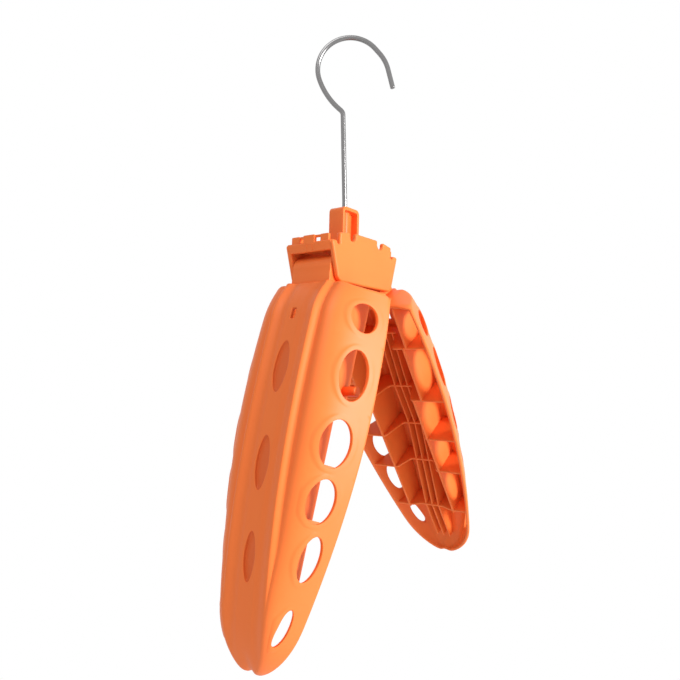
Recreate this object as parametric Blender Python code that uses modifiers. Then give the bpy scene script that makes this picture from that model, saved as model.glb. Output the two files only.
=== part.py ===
"""Wetsuit hanger: steel swivel hook, moulded housing, two wide moulded arms that fold on steel pins.

World frame: Z up, X along the hanger's length, Y through its depth (front is -Y).  The origin is the
inner surface of the hook wire straight above the swivel axis, where the hanger rests on a rail.
"""
import math

import bmesh
import bpy
from mathutils import Matrix, Vector

MM = 0.001
TURN = 2.0 * math.pi

# Clearances
GAP = 0.3 * MM                  # between pieces that only lie next to each other
RUNNING = 0.1 * MM              # radial play of a turning fit
SEAT = 0.05 * MM                # radial play of a pin that stays in its bore
WELD = 0.000002
INSET = 0.2 * MM                # keeps faces that would be flush from lying in one plane

# Heights of the swivel, measured from the origin down
PIVOT_Z = -145.5 * MM

# Hook
WIRE_R = 1.5 * MM
HOOK_TURN = math.radians(-52.35)
HEAD_R = 3.6 * MM
HEAD_T = 1.5 * MM
LOOP_R = 20.1 * MM
SHANK_LEAN = math.radians(2.35)
WASHER_R = 4.6 * MM
WASHER_T = 0.8 * MM

# Housing, heights from the pivots
CHEEK_OUT = 17.36 * MM
CHEEK_T = 3.0 * MM
CHEEK_IN = CHEEK_OUT - CHEEK_T
LEDGE_Z = 14.2 * MM
LEDGE_X = 32.9 * MM
FOOT_Z = -8.3 * MM
FOOT_X = 26.2 * MM
FOOT_ROUND = 4.5 * MM
CREST_Z = 21.2 * MM
NOTCH_X = 13.8 * MM
NOTCH_R = 2.9 * MM
NOTCH_Z = 16.0 * MM
TONGUE_IN_X = NOTCH_X + NOTCH_R
TONGUE_OUT_X = 25.6 * MM
TONGUE_IN_Z = 20.7 * MM
TONGUE_OUT_Z = 19.1 * MM
STEP_X = 28.0 * MM
STEP_Z = 12.4 * MM
BAR_Z = 8.85 * MM
BAR_T = 3.4 * MM
BAR_FILLET = 1.8 * MM
WALL_X = 31.2 * MM
WALL_T = 1.8 * MM
WALL_HALF = 13.6 * MM
WALL_Z = 18.2 * MM
SLOT_IN = 4.1 * MM
SLOT_OUT = 7.6 * MM
NOSE_REACH = 1.1 * MM
NOSE_H = 1.8 * MM
LUG_HALF = 6.0 * MM
LUG_REACH = 2.0 * MM
LUG_H = 1.3 * MM

# Hook carrier, heights from the pivots
PLATE_T = 2.5 * MM
PLATE_Z = BAR_Z + LUG_H + GAP
PLATE_HALF_Y = CHEEK_IN - GAP
TOWER_X = 8.0 * MM
TOWER_Y = 5.4 * MM
TOWER_Z = 40.0 * MM
TOWER_ROUND = 3.0 * MM
LEG_T = 2.0 * MM
BRIDGE_T = 2.2 * MM
WEB_HALF = 1.0 * MM
BOSS_R = 3.0 * MM

# Pivots
PIVOT_X = 22.0 * MM
PIN_R = 2.0 * MM
BORE_DEPTH = 1.9 * MM
HUB_R = 7.7 * MM
HUB_HALF = CHEEK_IN - 0.45 * MM
TILT = {"left_arm": math.radians(17.24), "right_arm": math.radians(35.86)}
SIDE = {"left_arm": -1, "right_arm": 1}

# Arm: u runs from the pivot to the tip, v across the arm, w outwards from the pivot
RIM_W = -19.6 * MM
SKIN_T = 2.0 * MM
WIDEST_U = 70.0 * MM
WIDEST_HALF = 42.8 * MM
SHOULDER_U = 10.7 * MM
SHOULDER_RIM_U = 9.0 * MM
SHOULDER_LOSS = 3.0 * MM
TIP_U = 217.0 * MM
TIP_LOSS = 20.9 * MM
TIP_RUN = TIP_U - WIDEST_U - 10.0 * MM
TIP_ROUND = 32.0 * MM
TIP_NOTCH = 1.5 * MM
CREST_U = 32.0 * MM
CREST_H = 32.6 * MM
CREST_NECK_LOSS = 6.8 * MM
CREST_TIP_LOSS = 12.8 * MM
CREST_TIP_RUN = TIP_U - CREST_U - 44.0 * MM
WALL_SLOPE = math.tan(math.radians(27.0))
CORNER_BACK = 4.0 * MM
CORNER_RIM = 0.3
CORNER_RISE = 16.0 * MM

# Relief of the arm's back, as (fraction of the half width of the back, height over the centre crest)
RELIEF = ((0.0, 0.0), (0.31, -0.3 * MM), (0.50, 1.2 * MM), (0.56, 1.3 * MM), (0.66, -2.0 * MM),
          (0.80, -2.3 * MM), (0.93, -1.2 * MM))

# Openings of the arm: (u, w of the centre, half length, half height)
SIDE_HOLES = ((29.3, -5.2, 8.9, 7.6), (61.9, -5.0, 14.2, 7.8), (98.6, -4.1, 12.7, 7.9),
              (127.9, -5.3, 11.5, 7.0), (155.8, -9.2, 11.5, 5.0), (189.5, -11.2, 9.4, 2.9))
BACK_RECESSES = ((62.8, 14.5, 4.8), (114.0, 14.1, 4.4), (160.4, 12.3, 3.8))
RECESS_DEPTH = 1.0 * MM
CORD_SLOT = (29.0 * MM, 35.5 * MM, 1.45 * MM)

# Ribs of the arm
EMBED = 1.0 * MM
LONG_WALL_V = (26.0 * MM, 23.8 * MM, 17.6 * MM)
LONG_WALL_T = 1.6 * MM
LONG_WALL_END = TIP_U - 25.0 * MM
WALL_EDGE_W = RIM_W + 1.0 * MM
CROSS_RIBS = ((40.0, 1.2), (79.5, -2.5), (111.0, -2.5), (138.5, -8.5), (174.0, -16.2))
CROSS_RIB_T = 1.6 * MM
THIN_RIB_T = 1.1 * MM
THIN_RIB_V = 5.0 * MM
THIN_RIB_END = TIP_U - 12.0 * MM
PEG_U = 68.0 * MM
PEG_W = -14.0 * MM
PEG_R = 2.7 * MM
PEG_LENGTH = 9.5 * MM


def clear_file():
    """Remove whatever the file starts with."""
    for thing in list(bpy.data.objects):
        bpy.data.objects.remove(thing, do_unlink=True)


def plastic(name, colour, roughness):
    """One Principled material."""
    material = bpy.data.materials.new(name)
    material.use_nodes = True
    shader = material.node_tree.nodes["Principled BSDF"]
    shader.inputs["Base Color"].default_value = (*colour, 1.0)
    shader.inputs["Roughness"].default_value = roughness
    return material


def steel(name, colour, roughness):
    """One metallic material."""
    material = plastic(name, colour, roughness)
    material.node_tree.nodes["Principled BSDF"].inputs["Metallic"].default_value = 1.0
    return material


def link(name, mesh, matrix=None):
    """An object in the hanger's collection."""
    thing = bpy.data.objects.new(name, mesh)
    PARTS.objects.link(thing)
    if matrix is not None:
        thing.matrix_world = matrix
    return thing


def bake(thing, name):
    """Replace an object by its evaluated, welded mesh."""
    bpy.context.view_layer.update()
    graph = bpy.context.evaluated_depsgraph_get()
    mesh = bpy.data.meshes.new_from_object(thing.evaluated_get(graph))
    mesh.transform(thing.matrix_world)
    form = bmesh.new()
    form.from_mesh(mesh)
    bmesh.ops.remove_doubles(form, verts=form.verts, dist=WELD)
    bmesh.ops.dissolve_degenerate(form, edges=form.edges, dist=WELD)
    bent = [face for face in form.faces if len(face.verts) > 3 and flatness(face) > WELD / 4.0]
    bmesh.ops.triangulate(form, faces=bent)
    bmesh.ops.recalc_face_normals(form, faces=form.faces)
    form.to_mesh(mesh)
    form.free()
    bpy.data.objects.remove(thing, do_unlink=True)
    return link(name, mesh)


def flatness(face):
    """Largest distance of a face's corners from its plane."""
    middle = face.calc_center_median()
    return max(abs((corner.co - middle).dot(face.normal)) for corner in face.verts)


def combine(body, tools, operation, solver="EXACT"):
    """Join the tools to the body, or cut them out of it, one after the other."""
    for tool in tools:
        step = body.modifiers.new(operation.title(), "BOOLEAN")
        step.operation = operation
        step.solver = solver
        step.object = tool
        body = bake(body, body.name)
        bpy.data.objects.remove(tool, do_unlink=True)
    return body


def rounded(corners, steps=4):
    """Outline with each corner (a, b, radius) turned into an arc."""
    outline = []
    count = len(corners)
    for index, (a, b, radius) in enumerate(corners):
        here = Vector((a, b))
        if radius <= 0.0:
            outline.append(here)
            continue
        before = (Vector(corners[index - 1][:2]) - here).normalized()
        after = (Vector(corners[(index + 1) % count][:2]) - here).normalized()
        half = before.angle(after) / 2.0
        reach = radius / math.tan(half)
        centre = here + (before + after).normalized() * radius / math.sin(half)
        start = here + before * reach - centre
        end = here + after * reach - centre
        sweep = start.angle_signed(end)
        for step in range(steps + 1):
            turn = Matrix.Rotation(-sweep * step / steps, 2)
            outline.append(centre + turn @ start)
    return outline


def slab(name, outline, half, frame):
    """Flat outline given thickness on both sides, laid into its place by the frame."""
    curve = bpy.data.curves.new(name, "CURVE")
    curve.dimensions = "2D"
    curve.fill_mode = "BOTH"
    curve.extrude = half
    spline = curve.splines.new("POLY")
    spline.points.add(len(outline) - 1)
    for point, (a, b) in zip(spline.points, outline):
        point.co = (a, b, 0.0, 1.0)
    spline.use_cyclic_u = True
    return bake(link(name, curve, frame), name)


def axes(first, second, origin=(0.0, 0.0, 0.0)):
    """Matrix whose first two columns are the given directions."""
    first = Vector(first)
    second = Vector(second)
    return Matrix.Translation(origin) @ Matrix((first, second, first.cross(second))).transposed().to_4x4()


def upright(y, z=0.0):
    """Frame of an outline drawn in X and Z."""
    return axes((1, 0, 0), (0, 0, 1), (0.0, y, z))


def block(name, low, high):
    """Box between two corners."""
    form = bmesh.new()
    bmesh.ops.create_cube(form, size=1.0)
    size = Vector(high) - Vector(low)
    middle = (Vector(high) + Vector(low)) / 2.0
    bmesh.ops.transform(form, matrix=Matrix.Translation(middle) @ Matrix.Diagonal((*size, 1.0)), verts=form.verts)
    mesh = bpy.data.meshes.new(name)
    form.to_mesh(mesh)
    form.free()
    return link(name, mesh)


def rod(name, radius, low, high, centre, axis="Y", segments=32, stretch=(1.0, 1.0)):
    """Round bar from low to high along an axis; stretch makes it oval."""
    form = bmesh.new()
    bmesh.ops.create_cone(form, cap_ends=True, segments=segments, radius1=radius, radius2=radius, depth=high - low)
    lift = Matrix.Translation((0.0, 0.0, (low + high) / 2.0)) @ Matrix.Diagonal((*stretch, 1.0, 1.0))
    lay = {"Z": Matrix.Identity(4),
           "Y": axes((0, 0, 1), (1, 0, 0)),
           "X": axes((0, 1, 0), (0, 0, 1))}[axis]
    bmesh.ops.transform(form, matrix=Matrix.Translation(centre) @ lay @ lift, verts=form.verts)
    mesh = bpy.data.meshes.new(name)
    form.to_mesh(mesh)
    form.free()
    return link(name, mesh)


def finish_piece(thing, material, smooth=0.0):
    """Give a piece its material and shading."""
    thing.data.materials.clear()
    thing.data.materials.append(material)
    for face in thing.data.polygons:
        face.use_smooth = smooth > 0.0
    if smooth > 0.0:
        thing.data.set_sharp_from_angle(angle=smooth)
    return thing


# The hook, bent from one wire
def bend(place, heading, moves):
    """Walk along the wire: each move is (straight length) or (radius, turn)."""
    path = [place]
    for move in moves:
        if len(move) == 1:
            place = place + move[0] * Vector((math.cos(heading), math.sin(heading)))
            path.append(place)
            continue
        radius, turn = move
        steps = max(2, round(abs(turn) / math.radians(8.0)))
        side = math.copysign(radius, turn)
        centre = place + side * Vector((-math.sin(heading), math.cos(heading)))
        for step in range(1, steps + 1):
            angle = heading + turn * step / steps
            path.append(centre + side * Vector((math.sin(angle), -math.cos(angle))))
        heading = heading + turn
        place = path[-1]
    return path


def make_hook():
    """Wire with an upset head, shank on the swivel axis."""
    bottom = PIVOT_Z + PLATE_Z - GAP - WASHER_T - GAP - HEAD_T / 2.0
    moves = [(PIVOT_Z + TOWER_Z + 4.0 * MM - bottom,),
             (20.0 * MM, SHANK_LEAN),
             (53.75 * MM,),
             (4.0 * MM, math.radians(47.0)),
             (1.5 * MM,),
             (43.0 * MM, math.radians(-29.35)),
             (LOOP_R, math.radians(-158.0)),
             (4.0 * MM,),
             (24.0 * MM, math.radians(-27.0)),
             (12.2 * MM,)]
    path = bend(Vector((0.0, bottom)), TURN / 4.0, moves)
    top = max(path, key=lambda point: point.y)
    before = max((point for point in path if point.x < 0.0 and point.y > top.y - LOOP_R), key=lambda p: p.x)
    after = min((point for point in path if point.x >= 0.0 and point.y > top.y - LOOP_R), key=lambda p: p.x)
    share = -before.x / (after.x - before.x)
    over_axis = before.y + share * (after.y - before.y)
    lift = WIRE_R * 1.01 - over_axis
    curve = bpy.data.curves.new("hook_wire", "CURVE")
    curve.dimensions = "3D"
    curve.bevel_depth = WIRE_R
    curve.bevel_resolution = 2
    curve.use_fill_caps = True
    spline = curve.splines.new("POLY")
    spline.points.add(len(path) - 1)
    for index, (point, place) in enumerate(zip(spline.points, path)):
        height = place.y if index == 0 else place.y + lift
        point.co = (place.x * math.cos(HOOK_TURN), place.x * math.sin(HOOK_TURN), height, 1.0)
    wire = bake(link("hook", curve), "hook")
    head = rod("head", HEAD_R, bottom - HEAD_T / 2.0, bottom + HEAD_T / 2.0, (0, 0, 0), "Z", 24)
    return combine(wire, [head], "UNION")


# The housing
def make_housing():
    """Two cheeks, end bars and slotted end walls in one moulding, drawn from the pivots' height."""
    half = [(FOOT_X, FOOT_Z, FOOT_ROUND), (LEDGE_X, LEDGE_Z, 0.8 * MM), (STEP_X, LEDGE_Z, 0.3 * MM),
            (STEP_X - GAP, STEP_Z, 0.6 * MM), (TONGUE_OUT_X, STEP_Z, 0.6 * MM),
            (TONGUE_OUT_X, TONGUE_OUT_Z, 0.5 * MM), (TONGUE_IN_X, TONGUE_IN_Z, 0.5 * MM),
            (TONGUE_IN_X, NOTCH_Z, NOTCH_R * 0.96), (NOTCH_X - NOTCH_R, NOTCH_Z, NOTCH_R * 0.96),
            (NOTCH_X - NOTCH_R, CREST_Z - 0.2 * MM, 0.5 * MM)]
    other = [(-x, z, radius) for x, z, radius in reversed(half)]
    cheek = rounded(half + other)
    cheeks = []
    for y in (-1, 1):
        middle = y * (CHEEK_OUT - CHEEK_T / 2.0)
        cheeks.append(slab("cheek", cheek, CHEEK_T / 2.0, upright(middle, PIVOT_Z)))
    housing = cheeks[0]
    housing.name = "housing"
    slant = (LEDGE_X - FOOT_X) / (LEDGE_Z - FOOT_Z)
    extras = [cheeks[1]]
    for x in (-1, 1):
        low = LEDGE_X - slant * (LEDGE_Z - BAR_Z)
        bar = [(x * (low - INSET), BAR_Z), (x * (LEDGE_X - slant * MM - INSET), LEDGE_Z - MM),
               (x * (LEDGE_X - 1.2 * MM), LEDGE_Z - INSET), (x * (low - BAR_T), LEDGE_Z - INSET),
               (x * (low - BAR_T), BAR_Z)]
        extras.append(slab("bar", bar, CHEEK_OUT - CHEEK_T / 2.0, upright(0.0, PIVOT_Z)))
        wall = [(x * (WALL_X - WALL_T / 2.0), LEDGE_Z - 1.0 * MM), (x * (WALL_X + WALL_T / 2.0), LEDGE_Z - 1.0 * MM),
                (x * (WALL_X + WALL_T / 2.0), WALL_Z), (x * (WALL_X - WALL_T / 2.0), WALL_Z)]
        for y in (-1, 0, 1):
            reach = SLOT_IN if y == 0 else (WALL_HALF - SLOT_OUT) / 2.0
            middle = y * (WALL_HALF + SLOT_OUT) / 2.0
            extras.append(slab("tab", wall, reach, upright(middle, PIVOT_Z)))
        inner = low - BAR_T
        ends = sorted((x * (inner - LUG_REACH), x * (inner + 1.0 * MM)))
        extras.append(block("lug", (ends[0], -LUG_HALF, PIVOT_Z + BAR_Z),
                            (ends[1], LUG_HALF, PIVOT_Z + BAR_Z + LUG_H)))
        nose_z = PIVOT_Z + PLATE_Z + PLATE_T + GAP
        ends = sorted((x * (TONGUE_IN_X + 0.8 * MM), x * (TONGUE_OUT_X - 0.8 * MM)))
        for y in (-1, 1):
            depth = sorted((y * (CHEEK_IN - NOSE_REACH), y * (CHEEK_IN + 1.0 * MM)))
            extras.append(block("nose", (ends[0], depth[0], nose_z), (ends[1], depth[1], nose_z + NOSE_H)))
    housing = combine(housing, extras, "UNION")
    bores = []
    for x in (-1, 1):
        for y in (-1, 1):
            reach = sorted((y * (CHEEK_IN - 1.0 * MM), y * (CHEEK_IN + BORE_DEPTH)))
            bores.append(rod("bore", PIN_R + SEAT, reach[0], reach[1], (x * PIVOT_X, 0, PIVOT_Z)))
    return combine(housing, bores, "DIFFERENCE")


# The hook carrier
def make_carrier():
    """Plate under the housing's noses, with the tower that guides the hook."""
    slant = (LEDGE_X - FOOT_X) / (LEDGE_Z - FOOT_Z)
    plate_x = LEDGE_X - slant * (LEDGE_Z - BAR_Z) - BAR_T - GAP
    low = PIVOT_Z + PLATE_Z
    plate = block("hook_carrier", (-plate_x, -PLATE_HALF_Y, low), (plate_x, PLATE_HALF_Y, low + PLATE_T))
    outline = rounded([(-TOWER_X, PLATE_Z + 1.0 * MM, 0.0), (TOWER_X, PLATE_Z + 1.0 * MM, 0.0),
                       (TOWER_X, TOWER_Z, TOWER_ROUND), (-TOWER_X, TOWER_Z, TOWER_ROUND)])
    tower = slab("tower", outline, TOWER_Y, upright(0.0, PIVOT_Z))
    carrier = combine(plate, [tower], "UNION")
    pockets = []
    for y in (-1, 1):
        depth = sorted((y * WEB_HALF, y * (TOWER_Y + 1.0 * MM)))
        pockets.append(block("pocket", (-TOWER_X + LEG_T, depth[0], low + PLATE_T),
                             (TOWER_X - LEG_T, depth[1], PIVOT_Z + TOWER_Z - BRIDGE_T)))
    carrier = combine(carrier, pockets, "DIFFERENCE")
    boss = rod("boss", BOSS_R, low + 1.0 * MM, PIVOT_Z + TOWER_Z - 1.0 * MM, (0, 0, 0), "Z", 24)
    carrier = combine(carrier, [boss], "UNION")
    bore = rod("bore", WIRE_R + RUNNING, low - 1.0 * MM, PIVOT_Z + TOWER_Z + 1.0 * MM, (0, 0, 0), "Z", 24)
    return combine(carrier, [bore], "DIFFERENCE")


# The arm
def round_off(u):
    """1 along the arm, falling to 0 at the rounded tip."""
    start = TIP_U - TIP_ROUND
    if u <= start:
        return 1.0
    return math.sqrt(max(0.0, 1.0 - ((u - start) / TIP_ROUND) ** 2.4))


def half_width(u):
    """Half width of the arm at its rim."""
    if u < WIDEST_U:
        loss = SHOULDER_LOSS * ((WIDEST_U - u) / (WIDEST_U - SHOULDER_RIM_U)) ** 2.6
    else:
        loss = TIP_LOSS * ((u - WIDEST_U) / TIP_RUN) ** 1.87
    return (WIDEST_HALF - loss) * round_off(u)


def crest(u):
    """Height of the centre crest over the rim plane."""
    if u < CREST_U:
        height = CREST_H - CREST_NECK_LOSS * ((CREST_U - u) / (CREST_U - SHOULDER_U)) ** 1.8
    else:
        height = CREST_H - CREST_TIP_LOSS * ((u - CREST_U) / CREST_TIP_RUN) ** 2.35
    return height * round_off(u)


def back_half(u):
    """Half width of the arm's back, where the slanted side walls begin."""
    return half_width(u) - WALL_SLOPE * (crest(u) - 1.5 * MM * round_off(u))


def relief(fraction, u):
    """Height of the fluted back over the centre crest."""
    scale = min(1.0, crest(u) / CREST_H)
    for (a, low), (b, high) in zip(RELIEF, RELIEF[1:]):
        if fraction <= b:
            return scale * (low + (high - low) * (fraction - a) / (b - a))
    return scale * RELIEF[-1][1]


def back_w(u, v):
    """w of the outer surface of the back at a place on the arm."""
    return RIM_W + crest(u) + relief(abs(v) / back_half(u), u)


def section(u):
    """Points (v, w) of the outer surface across the arm, from one rim to the other."""
    back = back_half(u)
    rim = half_width(u)
    scale = round_off(u)
    edge = back_w(u, back)
    half = [(fraction * back, back_w(u, fraction * back)) for fraction, height in RELIEF]
    half.append((back, edge - 0.9 * MM * scale))
    foot = edge - 4.0 * MM * scale
    half.append((rim - WALL_SLOPE * (foot - RIM_W), foot))
    half.append((rim, RIM_W))
    return [(-v, w) for v, w in reversed(half[1:])] + half


def make_skin():
    """Shell of the arm: sections lofted from the shoulder to the tip, then given its thickness."""
    stations = [SHOULDER_U + (CREST_U - SHOULDER_U) * share for share in (0.0, 0.155, 0.39, 0.67)]
    stations += [CREST_U, CREST_U + 0.37 * (WIDEST_U - CREST_U)]
    straight = TIP_U - TIP_ROUND - WIDEST_U
    stations += [WIDEST_U + straight * share for share in (0.0, 0.19, 0.38, 0.57, 0.75, 0.9)]
    stations += [TIP_U - TIP_ROUND * share for share in (0.88, 0.66, 0.45, 0.27, 0.13, 0.04)]
    rows = []
    first = section(SHOULDER_U)
    rows.append([(RIM_W, v * 0.94, -SHOULDER_RIM_U) for v, w in first])
    for u in stations:
        row = []
        for v, w in section(u):
            outward = max(0.0, abs(v) / half_width(u) - 0.55) / 0.45
            corner = CORNER_BACK * min(1.0, outward * 1.6) * max(0.0, 1.0 - (u - SHOULDER_U) / (20.0 * MM))
            corner *= CORNER_RIM + (1.0 - CORNER_RIM) * min(1.0, (w - RIM_W) / CORNER_RISE)
            notch = TIP_NOTCH * math.exp(-(v / (3.0 * MM)) ** 2) * max(0.0, 1.0 - (TIP_U - u) / (12.0 * MM))
            row.append((w, v, -(u + corner - notch)))
        rows.append(row)
    rows.append([(RIM_W, v * 0.4, -(TIP_U - 0.2 * MM)) for v, w in section(stations[-1])])
    form = bmesh.new()
    grid = [[form.verts.new(point) for point in row] for row in rows]
    for near, far in zip(grid, grid[1:]):
        for a, b, c, d in zip(near, near[1:], far[1:], far):
            form.faces.new((a, d, c, b))
    bmesh.ops.remove_doubles(form, verts=form.verts, dist=WELD)
    bmesh.ops.dissolve_degenerate(form, edges=form.edges, dist=WELD)
    mesh = bpy.data.meshes.new("arm")
    form.to_mesh(mesh)
    form.free()
    skin = link("arm", mesh)
    wall = skin.modifiers.new("Wall", "SOLIDIFY")
    wall.thickness = SKIN_T
    wall.offset = -1.0
    skin = bake(skin, "arm")
    for vertex in skin.data.vertices:
        vertex.co.x = max(vertex.co.x, RIM_W)
    return skin


def across(u):
    """Frame of an outline drawn in v and w."""
    return axes((0, 1, 0), (1, 0, 0), (0.0, 0.0, -u))


def along(v):
    """Frame of an outline drawn in u and w."""
    return axes((0, 0, -1), (1, 0, 0), (0.0, v, 0.0))


def spread(low, high, count):
    """Evenly spaced values from low to high."""
    return [low + (high - low) * index / (count - 1) for index in range(count)]


def rib_edge(u):
    """w of the free edge of the ribs in the middle channel."""
    if u <= CROSS_RIBS[0][0] * MM:
        return CROSS_RIBS[0][1] * MM
    for (a, low), (b, high) in zip(CROSS_RIBS, CROSS_RIBS[1:]):
        if u <= b * MM:
            return (low + (high - low) * (u / MM - a) / (b - a)) * MM
    return CROSS_RIBS[-1][1] * MM


def long_rib(name, v, half, start, end, counts, edge):
    """Rib along the arm, its upper edge sunk into the back."""
    upper = [(u, back_w(u, v) - EMBED) for u in spread(start, end, counts[0])]
    lower = [(u, edge(u)) for u in spread(end, start, counts[1])]
    return slab(name, upper + lower, half, along(v))


def cross_rib(u, edge, step):
    """Rib across the arm, low in the middle channel and deep in the side pockets beyond the long walls."""
    limit = WALL_EDGE_W + INSET
    side = half_width(u) - EMBED
    back = back_half(u)
    upper = [(v, back_w(u, v) - EMBED) for v in spread(-back, back, 15)]
    foot = side - WALL_SLOPE * (limit - RIM_W)
    lower = [(foot, limit), (step, limit), (step - 6.0 * MM, edge), (-step + 6.0 * MM, edge), (-step, limit),
             (-foot, limit)]
    return slab("cross_rib", upper + lower, CROSS_RIB_T / 2.0, across(u))


def make_neck():
    """Hub and neck between the cheeks, hollowed from the inner side."""
    outline = [(-0.5, 7.2), (6.0, 7.4), (SHOULDER_U / MM + 1.2, 5.4), (SHOULDER_U / MM + 1.2, -9.0),
               (6.0, -7.0), (-0.5, -7.0)]
    neck = slab("neck", [(u * MM, w * MM) for u, w in outline], HUB_HALF, along(0.0))
    hub = rod("hub", HUB_R, -HUB_HALF, HUB_HALF, (0, 0, 0), "Y", 40)
    return neck, hub


def make_arm():
    """One arm, lying in its own frame with the pivot axis at the origin."""
    arm = make_skin()
    cuts = []
    for u, w, length, height in SIDE_HOLES:
        cuts.append(rod("hole", 1.0 * MM, -60.0 * MM, 60.0 * MM, (w * MM, 0.0, -u * MM), "Y", 20, (length, height)))
    for u, length, width in BACK_RECESSES:
        floor = RIM_W + crest(u * MM) - RECESS_DEPTH
        slope = (crest((u + 5.0) * MM) - crest((u - 5.0) * MM)) / (10.0 * MM)
        recess = rod("recess", 1.0 * MM, 0.0, 6.0 * MM, (0, 0, 0), "X", 20, (width, length))
        recess.data.transform(Matrix.Translation((floor, 0.0, -u * MM)) @ Matrix.Rotation(math.atan(slope), 4, "Y"))
        cuts.append(recess)
    start, end, half = CORD_SLOT
    cuts.append(block("slot", (0.0, -half, -end), (20.0 * MM, half, -start)))
    arm = combine(arm, cuts, "DIFFERENCE")
    ribs = list(make_neck())
    breaks = (SHOULDER_U + EMBED, CROSS_RIBS[0][0] * MM, CROSS_RIBS[1][0] * MM, LONG_WALL_END)
    for v, start, end in zip(LONG_WALL_V, breaks, breaks[1:]):
        for side in (-1, 1):
            ribs.append(long_rib("long_wall", side * v, LONG_WALL_T / 2.0, start, end, (8, 2),
                                 lambda u: WALL_EDGE_W))
    for index, (u, edge) in enumerate(CROSS_RIBS):
        ribs.append(cross_rib(u * MM, edge * MM, LONG_WALL_V[min(index + 1, 2)]))
    for v in (-THIN_RIB_V, 0.0, THIN_RIB_V):
        ribs.append(long_rib("thin_rib", v, THIN_RIB_T / 2.0, CROSS_RIBS[0][0] * MM, THIN_RIB_END, (10, 10),
                             lambda u: rib_edge(u) + INSET))
    ribs.append(rod("peg", PEG_R, LONG_WALL_V[1], LONG_WALL_V[1] + PEG_LENGTH, (PEG_W, 0.0, -PEG_U), "Y", 16))
    frame = combine(ribs[0], ribs[1:], "UNION")
    arm = combine(arm, [frame], "UNION", "MANIFOLD")
    bore = rod("bore", PIN_R + RUNNING, -HUB_HALF - 1.0 * MM, HUB_HALF + 1.0 * MM, (0, 0, 0))
    return combine(arm, [bore], "DIFFERENCE")


def arm_pose(side, tilt):
    """Place of an arm: tilted on its pin, the left one turned half a turn as well."""
    turn = Matrix.Rotation(0.0 if side > 0 else TURN / 2.0, 4, "Z")
    return Matrix.Translation((side * PIVOT_X, 0.0, PIVOT_Z)) @ turn @ Matrix.Rotation(-tilt, 4, "Y")


clear_file()
PARTS = bpy.data.collections.new("wetsuit_hanger")
bpy.context.scene.collection.children.link(PARTS)

orange = (0.86, 0.30, 0.07)
smooth_angle = math.radians(35.0)

finish_piece(make_hook(), steel("hook_steel", (0.72, 0.72, 0.73), 0.18), smooth_angle)
finish_piece(make_housing(), plastic("housing_plastic", orange, 0.38), smooth_angle)
finish_piece(make_carrier(), plastic("carrier_plastic", orange, 0.38), smooth_angle)

washer_top = PIVOT_Z + PLATE_Z - GAP
washer = rod("hook_washer", WASHER_R, washer_top - WASHER_T, washer_top, (0, 0, 0), "Z", 32)
washer = combine(washer, [rod("bore", WIRE_R + RUNNING, washer_top - 2 * WASHER_T, washer_top + WASHER_T,
                              (0, 0, 0), "Z", 24)], "DIFFERENCE")
finish_piece(washer, steel("washer_steel", (0.62, 0.62, 0.64), 0.3), smooth_angle)

arm_form = make_arm()
arm_mesh = arm_form.data
bpy.data.objects.remove(arm_form, do_unlink=True)
for name, tilt in TILT.items():
    mesh = arm_mesh.copy()
    arm = link(name, mesh, arm_pose(SIDE[name], tilt))
    finish_piece(arm, plastic(name + "_plastic", orange, 0.38), smooth_angle)

for name, side in (("left_pivot_pin", -1), ("right_pivot_pin", 1)):
    reach = CHEEK_IN + BORE_DEPTH - 0.1 * MM
    pin = rod(name, PIN_R, -reach, reach, (0, 0, 0))
    pin.location = (side * PIVOT_X, 0.0, PIVOT_Z)
    finish_piece(pin, steel(name + "_steel", (0.62, 0.62, 0.64), 0.3), smooth_angle)
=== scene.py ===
# %% [markdown]
# # A folding wetsuit hanger
# A wetsuit is heavy and dries slowly, so its hanger has two very wide arms that keep the shoulders
# open and let air through.  Both arms fold on pins in a small housing, and the housing turns under a
# steel hook.  The solid model fixes every size and joint.  This script dresses it: each moulding is
# worked out again as a smooth surface, with its flutes, ribs, rounded edges and finish.

# %% Load the fixed frame
import math

import bmesh
import bpy
import numpy as np
from mathutils import Matrix, Vector


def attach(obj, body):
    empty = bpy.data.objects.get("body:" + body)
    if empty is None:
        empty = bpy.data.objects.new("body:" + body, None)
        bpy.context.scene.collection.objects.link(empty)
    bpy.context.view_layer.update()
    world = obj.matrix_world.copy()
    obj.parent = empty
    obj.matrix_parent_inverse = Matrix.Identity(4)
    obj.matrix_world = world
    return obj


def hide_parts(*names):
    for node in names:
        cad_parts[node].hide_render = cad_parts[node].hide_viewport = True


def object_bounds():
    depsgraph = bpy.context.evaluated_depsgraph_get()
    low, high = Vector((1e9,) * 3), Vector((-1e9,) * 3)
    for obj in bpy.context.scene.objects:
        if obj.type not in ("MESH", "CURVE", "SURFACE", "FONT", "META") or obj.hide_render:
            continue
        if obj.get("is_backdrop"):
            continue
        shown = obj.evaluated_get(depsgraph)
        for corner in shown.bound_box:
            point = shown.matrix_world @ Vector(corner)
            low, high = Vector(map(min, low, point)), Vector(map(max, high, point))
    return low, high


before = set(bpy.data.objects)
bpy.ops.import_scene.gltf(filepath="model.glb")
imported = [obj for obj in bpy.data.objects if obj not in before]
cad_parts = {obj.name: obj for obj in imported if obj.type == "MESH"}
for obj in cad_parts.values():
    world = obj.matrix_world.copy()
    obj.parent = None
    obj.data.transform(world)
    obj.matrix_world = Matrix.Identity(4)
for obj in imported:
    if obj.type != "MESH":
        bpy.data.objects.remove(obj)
cad_box = [list(corner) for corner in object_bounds()]
print("box in millimetres:", [[round(1000 * c, 1) for c in corner] for corner in cad_box])

# %% [markdown]
# ## Sizes that everything shares
# The whole hanger hangs from the origin, which is the inner side of the hook wire.  Heights of the
# housing are counted from the two pivots, which lie at one level.  Each arm has its own
# coordinates: u runs from its pivot to its tip, v across it, and w outwards, away from the other arm.

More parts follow.
